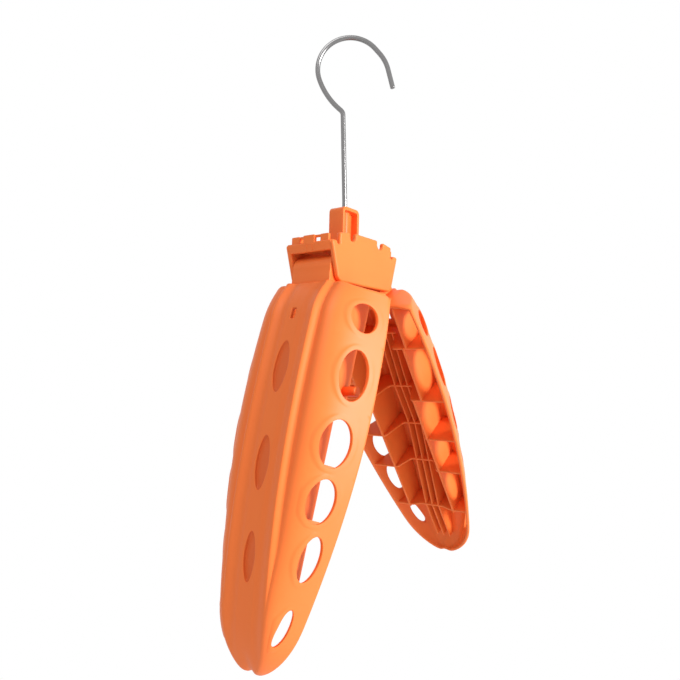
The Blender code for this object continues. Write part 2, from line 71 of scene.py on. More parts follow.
# %% Shared sizes
MM = 0.001
PIVOT_Z = -145.5 * MM
PIVOT_X = 22.0 * MM
TILT = {"left_arm": math.radians(17.24), "right_arm": math.radians(35.86)}
SIDE = {"left_arm": -1, "right_arm": 1}
CHEEK_OUT = 17.36 * MM
CHEEK_T = 3.0 * MM
CHEEK_IN = CHEEK_OUT - CHEEK_T
WIRE_R = 1.5 * MM
print("pivot level:", round(PIVOT_Z * 1000, 1), "mm, pivots", 2000 * PIVOT_X, "mm apart")

# %% [markdown]
# ## From arrays to meshes
# Every surface below ends up as one array of points and one list of faces.  Patches that share an
# edge compute the same points there, so merging points that coincide closes the seam.  A mesh whose
# faces were listed the wrong way round is turned, so that all faces look outwards.

# %% Helpers that turn arrays into a piece
CREASE = 40.0


def clamp(values):
    """Values held between 0 and 1."""
    return np.clip(values, 0.0, 1.0)


def unit(vectors):
    """Vectors brought to length 1."""
    return vectors / np.linalg.norm(vectors, axis=-1, keepdims=True)


def grid_faces(rows, columns, around):
    """Quads of a grid of points stored row by row: each joins two rows and two columns."""
    last = columns if around else columns - 1
    r, c = np.meshgrid(np.arange(rows - 1), np.arange(last), indexing="ij")
    n = (c + 1) % columns
    return np.stack([r * columns + c, r * columns + n, (r + 1) * columns + n, (r + 1) * columns + c],
                    axis=-1).reshape(-1, 4)


class Surface:
    """Patches gathered for one mesh."""

    def __init__(self):
        self.points = []
        self.faces = []
        self.count = 0

    def add(self, points, faces):
        """Keep points (n, 3) and faces that count from 0."""
        self.points.append(points)
        self.faces.extend((np.asarray(face) + self.count).tolist() for face in faces)
        self.count += len(points)

    def add_grid(self, points, around=False):
        """Keep a grid of points (rows, columns, 3)."""
        rows, columns = points.shape[:2]
        self.add(points.reshape(-1, 3), grid_faces(rows, columns, around))

    def add_tube(self, rings):
        """Keep rings of points (rings, sides, 3) as a tube with both its ends closed."""
        self.add_grid(rings, around=True)
        self.add(rings[0], [range(rings.shape[1])[::-1]])
        self.add(rings[-1], [range(rings.shape[1])])

    def mesh(self, name, weld=0.01 * MM):
        """One welded mesh whose faces all look outwards."""
        data = bpy.data.meshes.new(name)
        data.from_pydata(np.concatenate(self.points).tolist(), [], self.faces)
        form = bmesh.new()
        form.from_mesh(data)
        bmesh.ops.remove_doubles(form, verts=form.verts, dist=weld)
        bmesh.ops.dissolve_degenerate(form, edges=form.edges, dist=weld / 10)
        bmesh.ops.recalc_face_normals(form, faces=form.faces)
        if form.calc_volume(signed=True) < 0:
            bmesh.ops.reverse_faces(form, faces=form.faces)
        form.to_mesh(data)
        form.free()
        return data


print("patches can be gathered and welded")

# %% Helpers that show a piece
def new_object(name, data):
    """Object in the scene that holds some data."""
    thing = bpy.data.objects.new(name, data)
    bpy.context.scene.collection.objects.link(thing)
    return thing


def show(name, data, body, material):
    """Make an object of a mesh, shade it smooth up to creases and let it ride on a body."""
    data.name = name
    data.polygons.foreach_set("use_smooth", np.ones(len(data.polygons), dtype=bool))
    data.set_sharp_from_angle(angle=math.radians(CREASE))
    piece = new_object(name, data)
    data.materials.append(material)
    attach(piece, body)
    open_edges = sum(1 for edge in edge_use(data) if edge != 2)
    print(f"{name}: {len(data.polygons)} faces, {open_edges} open edges")
    return piece


def edge_use(data):
    """How many faces meet at each edge."""
    loops = np.zeros(len(data.loops), dtype=np.int64)
    data.loops.foreach_get("edge_index", loops)
    return np.bincount(loops, minlength=len(data.edges))


print("pieces are sharp from", CREASE, "degrees on")

# %% [markdown]
# ## Writing node materials
# A material is a small network: nodes that compute something and links that carry it on.  Two short
# helpers keep each network down to one line per node and one per link, so that it can be read.

# %% Helpers for materials
def new_material(name):
    """Material with its node tree and its shader."""
    material = bpy.data.materials.new(name)
    material.use_nodes = True
    return material, material.node_tree, material.node_tree.nodes["Principled BSDF"]


def node(tree, kind, settings=(), **sockets):
    """New shader node: settings are its own properties, sockets the values of its inputs."""
    made = tree.nodes.new("ShaderNode" + kind)
    for name, value in dict(settings).items():
        setattr(made, name, value)
    for name, value in sockets.items():
        made.inputs[name.replace("_", " ").title()].default_value = value
    return made


def join(tree, *links):
    """Link nodes, each link given as (node, output, node, input)."""
    for first, output, second, socket in links:
        tree.links.new(first.outputs[output], second.inputs[socket])


RGBA = {"data_type": "RGBA"}
print("material helpers ready")

# %% [markdown]
# ## Orange moulded plastic
# The arms and housing are moulded in one bright orange plastic.  Close up it is never one flat
# colour: the pigment clouds a little, the mould leaves a very fine texture, and handling scuffs some
# places.  The lens hollows of the back get painted shade: their colour is darkened, more the deeper
# they go.  Noise on the object's own coordinates gives the first three, and an attribute of the
# arm's mesh says where the painted shade lies.

# %% The plastic
def plastic(name, colour, cloud, roughness):
    """Principled plastic: clouded colour, patchy gloss, scuffs, painted shade in the lens hollows and a
    fine texture.
    """
    material, tree, shader = new_material(name)
    place = node(tree, "TexCoord")
    clouds = node(tree, "TexNoise", scale=55.0, detail=4.0)
    tint = node(tree, "Mix", RGBA, a=(*colour, 1.0), b=(*cloud, 1.0))
    gloss = node(tree, "MapRange", to_min=roughness - 0.05, to_max=roughness + 0.07)
    stretch = node(tree, "Mapping", rotation=(0.3, 0.5, 0.2), scale=(30.0, 420.0, 60.0))
    scuffs = node(tree, "TexNoise", scale=1.0, detail=3.0)
    rubbed = node(tree, "MapRange", from_min=0.66, from_max=0.76, to_max=0.10)
    rough = node(tree, "Math", {"operation": "ADD"})
    # Painted shade: where the mesh attribute is 1, the orange is darkened by the shade tint below.
    hollow_shade = node(tree, "Attribute", {"attribute_name": "hollow_shade"})
    hollow_shade_mix = node(tree, "Mix", RGBA, b=(*[share * c for share, c in zip(HOLLOW_SHADE_TINT, colour)], 1.0))
    grain = node(tree, "TexNoise", scale=2600.0, detail=2.0)
    bump = node(tree, "Bump", strength=0.12, distance=0.1 * MM)
    join(tree, (place, "Object", clouds, "Vector"), (place, "Object", grain, "Vector"),
         (place, "Object", stretch, "Vector"), (stretch, "Vector", scuffs, "Vector"),
         (clouds, "Fac", tint, "Factor"), (clouds, "Fac", gloss, "Value"),
         (tint, "Result", hollow_shade_mix, "A"), (hollow_shade, "Fac", hollow_shade_mix, "Factor"),
         (hollow_shade_mix, "Result", shader, "Base Color"), (scuffs, "Fac", rubbed, "Value"),
         (gloss, "Result", rough, 0), (rubbed, "Result", rough, 1), (rough, "Value", shader, "Roughness"),
         (grain, "Fac", bump, "Height"), (bump, "Normal", shader, "Normal"))
    shader.inputs["IOR"].default_value = 1.45
    shader.inputs["Specular IOR Level"].default_value = 0.35
    return material


ORANGE = (0.92, 0.185, 0.035)
ORANGE_CLOUD = (0.94, 0.205, 0.042)
# Painted shade tint: share of each channel of the orange kept in the deepest part of a lens hollow.
HOLLOW_SHADE_TINT = (0.84, 0.74, 0.72)
arm_plastic = plastic("arm_plastic", ORANGE, ORANGE_CLOUD, 0.42)
housing_plastic = plastic("housing_plastic", ORANGE, ORANGE_CLOUD, 0.40)
print("plastic colour:", ORANGE)

# %% [markdown]
# ## Bright steel
# The hook is drawn stainless wire.  Drawing leaves faint scratches along the wire, which show as
# fine streaks in its gloss and tone.  The washer and pins are paler steel with coarser streaks.

# %% The steels
def steel(name, colour, roughness, grain_scale):
    """Metal whose gloss varies in fine streaks."""
    material, tree, shader = new_material(name)
    place = node(tree, "TexCoord")
    stretch = node(tree, "Mapping", scale=(1.0, 1.0, 0.08))
    streaks = node(tree, "TexNoise", scale=grain_scale, detail=3.0)
    gloss = node(tree, "MapRange", to_min=roughness * 0.7, to_max=roughness * 1.5)
    tint = node(tree, "Mix", RGBA, a=(*colour, 1.0), b=(*[0.88 * c for c in colour], 1.0))
    bump = node(tree, "Bump", strength=0.08, distance=0.05 * MM)
    join(tree, (place, "Object", stretch, "Vector"), (stretch, "Vector", streaks, "Vector"),
         (streaks, "Fac", gloss, "Value"), (streaks, "Fac", tint, "Factor"),
         (streaks, "Fac", bump, "Height"), (tint, "Result", shader, "Base Color"),
         (gloss, "Result", shader, "Roughness"), (bump, "Normal", shader, "Normal"))
    shader.inputs["Metallic"].default_value = 1.0
    return material


wire_steel = steel("wire_steel", (0.25, 0.245, 0.245), 0.22, 1500.0)
plain_steel = steel("plain_steel", (0.56, 0.56, 0.57), 0.30, 900.0)
print("steel:", wire_steel.name, plain_steel.name)

# %% [markdown]
# ## The hook: one wire, bent five times
# The wire runs straight up out of the housing, leans a little, turns sharply outwards, sweeps round
# the loop and ends in a short straight tip.  A bender makes it move by move, so the path is walked
# the same way: a straight length, or a radius and a turn.  A circle carried along that path is the
# wire, and its cut end is slightly rounded.

# %% Sizes of the hook and its head
HOOK_TURN = math.radians(-52.35)
SHANK_ABOVE = 4.0 * MM
LEAN_R = 20.0 * MM
LEAN_TURN = 2.35
SHANK_RUN = 53.75 * MM
ELBOW_R = 4.0 * MM
ELBOW_TURN = 47.0
ELBOW_RUN = 1.5 * MM
SWEEP_R = 43.0 * MM
SWEEP_TURN = -29.35
LOOP_R = 20.1 * MM
LOOP_TURN = -158.0
LOOP_RUN = 4.0 * MM
TIP_R = 24.0 * MM
TIP_TURN = -27.0
TIP_RUN = 12.2 * MM
TOWER_Z = 40.0 * MM
HEAD_R = 3.6 * MM
HEAD_T = 1.5 * MM
WASHER_T = 0.8 * MM
GAP = 0.3 * MM
BAR_Z = 8.85 * MM
LUG_H = 1.3 * MM
PLATE_Z = BAR_Z + LUG_H + GAP
PLATE_T = 2.5 * MM
print("wire:", round(2000 * WIRE_R, 1), "mm thick, loop radius", round(1000 * LOOP_R, 1), "mm")

# %% Walk the wire's path
def bend(place, heading, moves, step):
    """Points along a wire: a move is a radius and a turn in degrees, or None and a straight length."""
    path = [np.array([place])]
    for radius, size in moves:
        here = path[-1][-1]
        if radius is None:
            run = np.linspace(0.0, size, max(2, int(size / step)) + 1)[1:, None]
            path.append(here + run * np.array([math.cos(heading), math.sin(heading)]))
            continue
        turn = math.radians(size)
        side = math.copysign(radius, turn)
        count = max(4, int(abs(turn) * radius / step), int(abs(size) / 6.0))
        centre = here + side * np.array([-math.sin(heading), math.cos(heading)])
        angle = heading + turn * np.linspace(0.0, 1.0, count + 1)[1:]
        path.append(centre + side * np.stack([np.sin(angle), -np.cos(angle)], axis=1))
        heading += turn
    return np.concatenate(path)


head_z = PIVOT_Z + PLATE_Z - GAP - WASHER_T - GAP - HEAD_T / 2
moves = [(None, PIVOT_Z + TOWER_Z + SHANK_ABOVE - head_z), (LEAN_R, LEAN_TURN), (None, SHANK_RUN),
         (ELBOW_R, ELBOW_TURN), (None, ELBOW_RUN), (SWEEP_R, SWEEP_TURN), (LOOP_R, LOOP_TURN),
         (None, LOOP_RUN), (TIP_R, TIP_TURN), (None, TIP_RUN)]
flat = bend((0.0, head_z), math.pi / 2, moves, 1.5 * MM)
top = flat[:, 1] > flat[:, 1].max() - LOOP_R
order = np.argsort(flat[top, 0])
over_axis = np.interp(0.0, flat[top, 0][order], flat[top, 1][order])
flat[1:, 1] += WIRE_R * 1.01 - over_axis
outward = np.array([math.cos(HOOK_TURN), math.sin(HOOK_TURN), 0.0])
hook_path = flat[:, :1] * outward + flat[:, 1:] * np.array([0.0, 0.0, 1.0])
print("wire length:", round(1000 * np.linalg.norm(np.diff(hook_path, axis=0), axis=1).sum()), "mm")

# %% Carry a circle along the path
END_BACK = np.array([-0.5, -0.25, -0.1, -0.03, 0.0]) * MM
END_SHARE = np.array([0.985, 0.93, 0.84, 0.72])


def tube(path, radius, across, sides=24):
    """Rings of points about a flat path: across is the unit vector square to the path's plane."""
    tangent = unit(np.gradient(path, axis=0))
    out = np.cross(tangent, across)
    angle = np.linspace(0.0, 2.0 * math.pi, sides, endpoint=False)
    ring = out[:, None] * np.cos(angle)[None, :, None] + across[None, None] * np.sin(angle)[None, :, None]
    return path[:, None] + radius[:, None, None] * ring


hook_side = np.array([-math.sin(HOOK_TURN), math.cos(HOOK_TURN), 0.0])
tip_dir = unit(hook_path[-1] - hook_path[-2])
wire_path = np.concatenate([hook_path[:-1], hook_path[-1] + tip_dir * END_BACK[:, None]])
wire_radius = np.full(len(wire_path), WIRE_R)
wire_radius[-4:] = WIRE_R * END_SHARE
rings = tube(wire_path, wire_radius, hook_side)
hook = Surface()
hook.add_tube(rings)


def turned(profile, sides=48):
    """Profile of (radius, height) pairs turned about the Z axis."""
    angle = np.linspace(0.0, 2.0 * math.pi, sides, endpoint=False)
    r, z = np.asarray(profile).T
    return np.stack([r[:, None] * np.cos(angle), r[:, None] * np.sin(angle),
                     np.repeat(z[:, None], sides, axis=1)], axis=-1)


def upset_head():
    """Profile of the flattened end: a disc with a rounded edge, closed at the wire."""
    angle = np.linspace(-math.pi / 2, math.pi / 2, 9)
    half = HEAD_T / 2
    edge = np.stack([HEAD_R - half + half * np.cos(angle), head_z + half * np.sin(angle)], axis=1)
    return np.concatenate([[[0.0, head_z - half]], edge, [[0.0, head_z + half]]])


hook.add_grid(turned(upset_head()), around=True)
hook_piece = show("hook_wire", hook.mesh("hook_wire"), "hook", wire_steel)
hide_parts("hook")

# %% [markdown]
# ## Plates with rounded edges
# The housing, the hook's tower and the arms' necks are plates of plastic.  A moulded plate never
# has a knife edge, so each one is an outline carried through its thickness while it draws in along
# a quarter circle at both faces.  The outline is moved inwards along its own corner normals.

# %% Outline tools
def rounded(corners, steps=6):
    """Outline whose corners (a, b, radius) are replaced by arcs."""
    outline = []
    count = len(corners)
    for index, (a, b, radius) in enumerate(corners):
        here = Vector((a, b))
        if radius <= 0.0:
            outline.append(here)
            continue
        before = (Vector(corners[index - 1][:2]) - here).normalized()
        after = (Vector(corners[(index + 1) % count][:2]) - here).normalized()
        half = before.angle(after) / 2.0
        reach = radius / math.tan(half)
        centre = here + (before + after).normalized() * radius / math.sin(half)
        start = here + before * reach - centre
        sweep = start.angle_signed(here + after * reach - centre)
        for step in range(steps + 1):
            outline.append(centre + Matrix.Rotation(-sweep * step / steps, 2) @ start)
    return np.array([tuple(point) for point in outline])


def inset(outline, distance):
    """Outline moved inwards: each point goes along the mean of its two edge normals."""
    after = np.roll(outline, -1, axis=0)
    area = 0.5 * np.sum(outline[:, 0] * after[:, 1] - after[:, 0] * outline[:, 1])
    edge = unit(after - outline)
    normal = math.copysign(1.0, area) * np.stack([-edge[:, 1], edge[:, 0]], axis=1)
    before = np.roll(normal, 1, axis=0)
    mean = normal + before
    length = np.maximum(np.sum(mean * normal, axis=1, keepdims=True), 0.5)
    return outline + distance * mean / length


def plate(surface, outline, half, radius, first, second, origin=(0.0, 0.0, 0.0)):
    """Add a plate: its outline runs through it and draws in along a quarter circle at both faces."""
    first, second = np.array(first, float), np.array(second, float)
    third = np.cross(first, second)
    angle = np.linspace(0.0, math.pi / 2, 5)
    rest = radius + min(0.04 * MM, 0.15 * radius)
    side, rise = radius * (1 - np.sin(angle)), radius * (1 - np.cos(angle))
    draw = np.concatenate([[rest], side, side[::-1], [rest]])
    level = np.concatenate([[-half], -half + rise, half - rise[::-1], [half]])
    rings = np.stack([inset(outline, d)[:, :1] * first + inset(outline, d)[:, 1:] * second + z * third
                      for d, z in zip(draw, level)]) + np.array(origin)
    surface.add_tube(rings)


def bar(surface, radius, low, high, centre, axis, edge=0.3 * MM, sides=48):
    """Add a round bar from low to high along an axis, its ends rounded."""
    angle = np.linspace(0.0, math.pi / 2, 5)
    ends = radius - edge + edge * np.cos(angle)
    rise = edge * np.sin(angle)
    outer = np.concatenate([np.stack([ends[::-1], low + edge - rise[::-1]], axis=1),
                            np.stack([ends, high - edge + rise], axis=1)])
    points = turned(np.concatenate([[[0.0, low]], outer, [[0.0, high]]]), sides)
    turn = {"Z": np.eye(3), "Y": np.array([[0, 0, 1], [1, 0, 0], [0, 1, 0]], float)}[axis]
    surface.add_grid(points @ turn + np.array(centre), around=True)


X_AXIS, Y_AXIS, Z_AXIS = (1, 0, 0), (0, 1, 0), (0, 0, 1)
print("outline tools ready")

# %% [markdown]
# ## The housing
# One moulding: two cheeks with notched tops, a bar across each end, and a low slotted wall on each
# bar.  The notches let the upper tongues spring apart when the hook carrier is pressed in from
# above, and small noses on the tongues then hold it down.  Each form is a plate of its own that
# runs a little into its neighbour, so the joints are hidden inside the plastic and the whole reads
# as one moulding.  Cutting one block to shape would give the same look with far more work.

# %% Sizes of the housing
LEDGE_Z = 14.2 * MM
LEDGE_X = 32.9 * MM
FOOT_Z = -8.3 * MM
FOOT_X = 26.2 * MM
FOOT_ROUND = 4.5 * MM
CREST_Z = 21.2 * MM
NOTCH_X = 13.8 * MM
NOTCH_R = 2.9 * MM
NOTCH_Z = 16.0 * MM
TONGUE_IN_X = NOTCH_X + NOTCH_R
TONGUE_OUT_X = 25.6 * MM
TONGUE_IN_Z = 20.7 * MM
TONGUE_OUT_Z = 19.1 * MM
STEP_X = 28.0 * MM
STEP_Z = 12.4 * MM
BAR_T = 3.4 * MM
WALL_X = 31.2 * MM
WALL_T = 1.8 * MM
WALL_HALF = 13.6 * MM
WALL_Z = 18.2 * MM
SLOT_IN = 4.1 * MM
SLOT_OUT = 7.6 * MM
TAB_PROUD = 0.3 * MM
EDGE = 1.0 * MM
SLANT = (LEDGE_X - FOOT_X) / (LEDGE_Z - FOOT_Z)
print("housing:", round(2000 * LEDGE_X, 1), "mm long,", round(2000 * CHEEK_OUT, 1), "mm deep")

# %% Build the housing
def lengthwise(surface, outline, half, radius, y=0.0):
    """Upright plate with its outline in X and Z, heights counted from the pivots."""
    plate(surface, outline, half, radius, X_AXIS, Z_AXIS, (0.0, y, PIVOT_Z))


def crosswise(surface, outline, half, radius, x):
    """Upright plate with its outline in Y and Z, heights counted from the pivots."""
    plate(surface, outline, half, radius, Y_AXIS, Z_AXIS, (x, 0.0, PIVOT_Z))


def block(a0, a1, b0, b1, radius=0.0):
    """Outline of a rectangle with rounded corners."""
    return rounded([(a0, b0, radius), (a1, b0, radius), (a1, b1, radius), (a0, b1, radius)])


housing = Surface()
half_cheek = [(FOOT_X, FOOT_Z, FOOT_ROUND), (LEDGE_X, LEDGE_Z, 1.5 * MM), (STEP_X, LEDGE_Z, 1.2 * MM),
              (STEP_X - 0.3 * MM, STEP_Z, 0.9 * MM), (TONGUE_OUT_X, STEP_Z, 0.9 * MM),
              (TONGUE_OUT_X, TONGUE_OUT_Z, 1.2 * MM), (TONGUE_IN_X, TONGUE_IN_Z, 1.2 * MM),
              (TONGUE_IN_X, NOTCH_Z, NOTCH_R * 0.97), (NOTCH_X - NOTCH_R, NOTCH_Z, NOTCH_R * 0.97),
              (NOTCH_X - NOTCH_R, CREST_Z - 0.2 * MM, 1.2 * MM)]
cheek = rounded(half_cheek + [(-x, z, r) for x, z, r in reversed(half_cheek)], 8)
low = LEDGE_X - SLANT * (LEDGE_Z - BAR_Z)
inner = low - BAR_T
nose_z = PLATE_Z + PLATE_T + GAP
cheek_y = CHEEK_OUT - CHEEK_T / 2
tab_foot = LEDGE_Z - 1.5 * MM
for y in (-1, 1):
    lengthwise(housing, cheek, CHEEK_T / 2, EDGE, y * cheek_y)
for x in (-1, 1):
    beam = rounded([(x * low, BAR_Z, 0.35 * MM), (x * LEDGE_X, LEDGE_Z, 0.9 * MM),
                    (x * inner, LEDGE_Z, 0.35 * MM), (x * inner, BAR_Z, 0.35 * MM)])
    lengthwise(housing, beam, cheek_y, 0.2 * MM)
    for y in (-1, 0, 1):
        reach = SLOT_IN if y == 0 else (WALL_HALF - SLOT_OUT) / 2
        middle = y * (WALL_HALF + SLOT_OUT) / 2
        half = WALL_T / 2 if y else WALL_T / 2 + TAB_PROUD
        tab = rounded([(middle - reach, tab_foot, 0.0), (middle + reach, tab_foot, 0.0),
                       (middle + reach, WALL_Z, 0.7 * MM), (middle - reach, WALL_Z, 0.7 * MM)])
        tab_x = WALL_X - (0.5 * MM if y else -TAB_PROUD)
        crosswise(housing, tab, half, 0.35 * MM, x * tab_x)
    lintel = block(-WALL_HALF + MM, WALL_HALF - MM, WALL_Z - 1.5 * MM, WALL_Z - 0.1 * MM, 0.3 * MM)
    crosswise(housing, lintel, 0.5 * MM, 0.2 * MM, x * (WALL_X - 0.7 * MM))
    foot_x = x * (LEDGE_X - SLANT * 4.6 * MM)
    head_x = x * (LEDGE_X - SLANT * 0.6 * MM)
    bead = rounded([(foot_x - 0.2 * MM, BAR_Z + 0.8 * MM, 0.0),
                    (head_x - 0.2 * MM, LEDGE_Z - 0.5 * MM, 0.0),
                    (head_x + 0.2 * MM, LEDGE_Z - 0.5 * MM, 0.0),
                    (foot_x + 0.2 * MM, BAR_Z + 0.8 * MM, 0.0)])
    for y in (-2.0, 2.0):
        lengthwise(housing, bead, 0.25 * MM, 0.08 * MM, y * MM)
    lug_end = x * (inner - 2.0 * MM)
    lug_root = x * (inner + MM)
    lug = rounded([(lug_end, BAR_Z, 0.3 * MM), (lug_root, BAR_Z, 0.0), (lug_root, BAR_Z + LUG_H, 0.0),
                   (lug_end, BAR_Z + LUG_H, 0.3 * MM)])
    lengthwise(housing, lug, 6.0 * MM, 0.2 * MM)
    for y in (-1, 1):
        nose = [(y * (CHEEK_IN - 1.1 * MM), nose_z), (y * (CHEEK_IN + MM), nose_z),
                (y * (CHEEK_IN + MM), nose_z + 3.0 * MM), (y * CHEEK_IN, nose_z + 3.0 * MM)]
        half = (TONGUE_OUT_X - TONGUE_IN_X) / 2 - 0.8 * MM
        nose = rounded([(a, b, 0.2 * MM) for a, b in nose])
        crosswise(housing, nose, half, 0.12 * MM, x * (TONGUE_IN_X + TONGUE_OUT_X) / 2)
housing_mesh = housing.mesh("housing_shell")
housing_piece = show("housing_shell", housing_mesh, "housing", housing_plastic)
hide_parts("housing")

# %% [markdown]
# ## The hook carrier
# A flat plate lies between the cheeks under the noses.  Its tower guides the wire high above the
# pivots, so that the hook stays upright.  To keep the walls of the moulding even, the tower is
# hollowed from the front and the back, which leaves two legs, a bridge and a thin web with a sleeve.

# %% Build the hook carrier
TOWER_X = 8.0 * MM
TOWER_Y = 5.4 * MM
LEG_T = 2.0 * MM
BRIDGE_T = 2.2 * MM
carrier = Surface()
plate_x = inner - GAP
plate_y = CHEEK_IN - GAP
deck = block(-plate_x, plate_x, -plate_y, plate_y, 0.6 * MM)
plate(carrier, deck, PLATE_T / 2, 0.3 * MM, X_AXIS, Y_AXIS, (0.0, 0.0, PIVOT_Z + PLATE_Z + PLATE_T / 2))
foot = PLATE_Z + PLATE_T / 2
leg_x = TOWER_X - LEG_T
arch = rounded([(-TOWER_X, foot, 0.0), (-TOWER_X, TOWER_Z, 3.0 * MM), (TOWER_X, TOWER_Z, 3.0 * MM),
                (TOWER_X, foot, 0.0), (leg_x, foot, 0.0), (leg_x, TOWER_Z - BRIDGE_T, 1.0 * MM),
                (-leg_x, TOWER_Z - BRIDGE_T, 1.0 * MM), (-leg_x, foot, 0.0)])
lengthwise(carrier, arch, TOWER_Y, 0.4 * MM)
web = block(-TOWER_X + MM, TOWER_X - MM, foot, TOWER_Z - MM)
lengthwise(carrier, web, 1.0 * MM, 0.1 * MM)
bar(carrier, 3.0 * MM, PIVOT_Z + foot, PIVOT_Z + TOWER_Z - 0.8 * MM, (0, 0, 0), "Z", 0.2 * MM)
carrier_mesh = carrier.mesh("hook_tower")
carrier_piece = show("hook_tower", carrier_mesh, "housing", housing_plastic)
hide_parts("hook_carrier")

# %% [markdown]
# ## The small steel parts
# A washer under the plate carries the hook's head, and one pin runs through each arm's hub.  Their
# solids are right as they are, so they only get their steel.

# %% Steel on the washer and the pins
for name in ("hook_washer", "left_pivot_pin", "right_pivot_pin"):
    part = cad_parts[name]
    part.data.materials.clear()
    part.data.materials.append(plain_steel)
print("dressed: washer and pins")

# %% [markdown]
# ## The shape of an arm
# Seen from the side an arm is a long shell, deep at the shoulder and thin at the tip.  Its back is
# fluted in steps like roof shingles, its two side walls slant outwards to the rim, and it is open
# towards the other arm.  A few formulas in u describe all of it, and the inner face uses the same
# formulas drawn in by the thickness of the plastic.

# %% Sizes of the arm
RIM_W = -19.6 * MM
SKIN_T = 2.0 * MM
WIDEST_U = 70.0 * MM
WIDEST_HALF = 42.8 * MM
SHOULDER_U = 10.7 * MM
SHOULDER_RIM_U = 9.0 * MM
SHOULDER_LOSS = 3.0 * MM
TIP_U = 215.6 * MM
TIP_LOSS = 20.9 * MM
TIP_RUN_U = 137.0 * MM
TIP_ROUND = 30.6 * MM
TIP_NOTCH = 2.2 * MM
NOTCH_HALF = 3.0 * MM
NOTCH_RUN = 12.0 * MM
CREST_U = 32.0 * MM
CREST_H = 32.6 * MM
CREST_NECK_LOSS = 6.8 * MM
CREST_TIP_LOSS = 12.8 * MM
CREST_TIP_RUN = 141.0 * MM
WALL_SLOPE = math.tan(math.radians(27.0))
CORNER_BACK = 4.0 * MM
CORNER_FROM = 0.55
CORNER_RUN = 20.0 * MM
CORNER_RIM = 0.1
CORNER_RISE = 25.0 * MM
RIM_CORNER = 5.0 * MM
WALL_SWELL = 1.0 * MM
BACK_FALL = 1.5 * MM
SHOULDER_ROUND = 14.0 * MM
ROUND_SHARE = 0.72
MEET = 0.36
BACK_END = 0.74
RELIEF_V = np.array([0.0, 4.6, 8.1, 14.3, 17.7, 23.0]) * MM
RELIEF_UP = np.array([0.0, 0.0, -0.6, 1.4, -2.0, -1.6]) * MM
print("from the pivot to the tip:", round(1000 * TIP_U, 1), "mm")

# %% Outline and crest of the arm
def round_off(u, t=0.0):
    """1 along the arm; over the last stretch a superellipse falls to 0 at the tip."""
    share = clamp((u - (TIP_U - TIP_ROUND)) / (TIP_ROUND - t))
    return np.sqrt(np.maximum(0.0, 1.0 - share ** 2.8))


def half_width(u, t=0.0):
    """Half width at the rim: widest at WIDEST_U, less by a power of the distance on both sides of it."""
    neck = SHOULDER_LOSS * (np.maximum(WIDEST_U - u, 0.0) / (WIDEST_U - SHOULDER_RIM_U)) ** 2.6
    tip = TIP_LOSS * (np.maximum(u - WIDEST_U, 0.0) / TIP_RUN_U) ** 1.87
    return (WIDEST_HALF - 1.12 * t - neck - tip) * round_off(u, t)


def crest(u, t=0.0):
    """Height of the centre crest over the rim plane, falling towards the neck and towards the tip."""
    neck = CREST_NECK_LOSS * (np.maximum(CREST_U - u, 0.0) / (CREST_U - SHOULDER_U)) ** 1.8
    tip = CREST_TIP_LOSS * (np.maximum(u - CREST_U, 0.0) / CREST_TIP_RUN) ** 2.35
    return (CREST_H - t - neck - tip) * round_off(u, t)


def wall_height(u, t=0.0):
    """Height of a side wall: the back slopes down a little from its crest to the wall."""
    return crest(u, t) - BACK_FALL * round_off(u, t)


def back_half(u, t=0.0):
    """Half width of the back, where the slanted walls would cut its level."""
    return half_width(u, t) - WALL_SLOPE * wall_height(u, t)


print("rim:", round(2000 * float(half_width(WIDEST_U))), "mm wide")

# %% [markdown]
# ## Flutes
# The flutes run along the arm at fixed distances from its middle line.  Each is a smooth step between
# two levels, so the light changes along it without a hard line.

# %% Fluted level of the back
def relief(fraction, u, t=0.0):
    """Fluting of the back: cosine steps at fixed distances from the middle, less on a low crest."""
    v = np.minimum(np.clip(np.abs(fraction), 0.0, BACK_END) * back_half(u, t), RELIEF_V[-1])
    cell = np.clip(np.searchsorted(RELIEF_V, v, side="right") - 1, 0, len(RELIEF_V) - 2)
    share = (v - RELIEF_V[cell]) / (RELIEF_V[cell + 1] - RELIEF_V[cell])
    ease = (1.0 - np.cos(math.pi * share)) / 2.0
    fade = np.minimum(1.0, crest(u, t) / CREST_H)
    return fade * (RELIEF_UP[cell] + (RELIEF_UP[cell + 1] - RELIEF_UP[cell]) * ease)


def back_level(fraction, u, t=0.0):
    """w of the fluted back."""
    return RIM_W + crest(u, t) + relief(fraction, u, t)


print("flutes reach", round(1000 * float(RELIEF_V[-1]), 1), "mm from the middle line")

# %% [markdown]
# ## Side wall and shoulder
# A side wall slants and swells a little, since a slightly domed wall is stiffer than a flat one.  A
# curve takes it over into the back.  The wall's patches and the back's grid both use this curve and
# part at its share MEET, so they meet in the same points.

# %% Side wall and the rounding above it
def swell(u, t=0.0):
    """Share of the wall's full swell: less where the arm is low."""
    return clamp(crest(u, t) / CREST_H) ** 1.5


def wall_share(u, w, t):
    """Height of the side wall, and the share of it that lies below w."""
    full = np.maximum(wall_height(u, t), 0.1 * MM)
    return full, clamp((w - RIM_W) / full)


def wall_v(u, w, t=0.0):
    """v of the side wall: a straight slope plus a swell 4 B s (1 - s) over its height s."""
    s = wall_share(u, w, t)[1]
    return half_width(u, t) - WALL_SLOPE * (w - RIM_W) + 4 * WALL_SWELL * swell(u, t) * s * (1 - s)


def wall_lean(u, w, t=0.0):
    """How fast v falls with w on the side wall."""
    full, s = wall_share(u, w, t)
    return WALL_SLOPE - 4 * WALL_SWELL * swell(u, t) * (1 - 2 * s) / full


def shoulder(u, t=0.0):
    """Rounding between back and wall: its start (v, w), its corner's v, and the w where it ends."""
    v_flat = BACK_END * back_half(u, t)
    w_flat = back_level(BACK_END + 0 * u, u, t)
    end = w_flat - np.minimum(SHOULDER_ROUND, ROUND_SHARE * (w_flat - RIM_W))
    corner = wall_v(u, end, t) - wall_lean(u, end, t) * (w_flat - end)
    return v_flat, w_flat, np.maximum(corner, v_flat), end


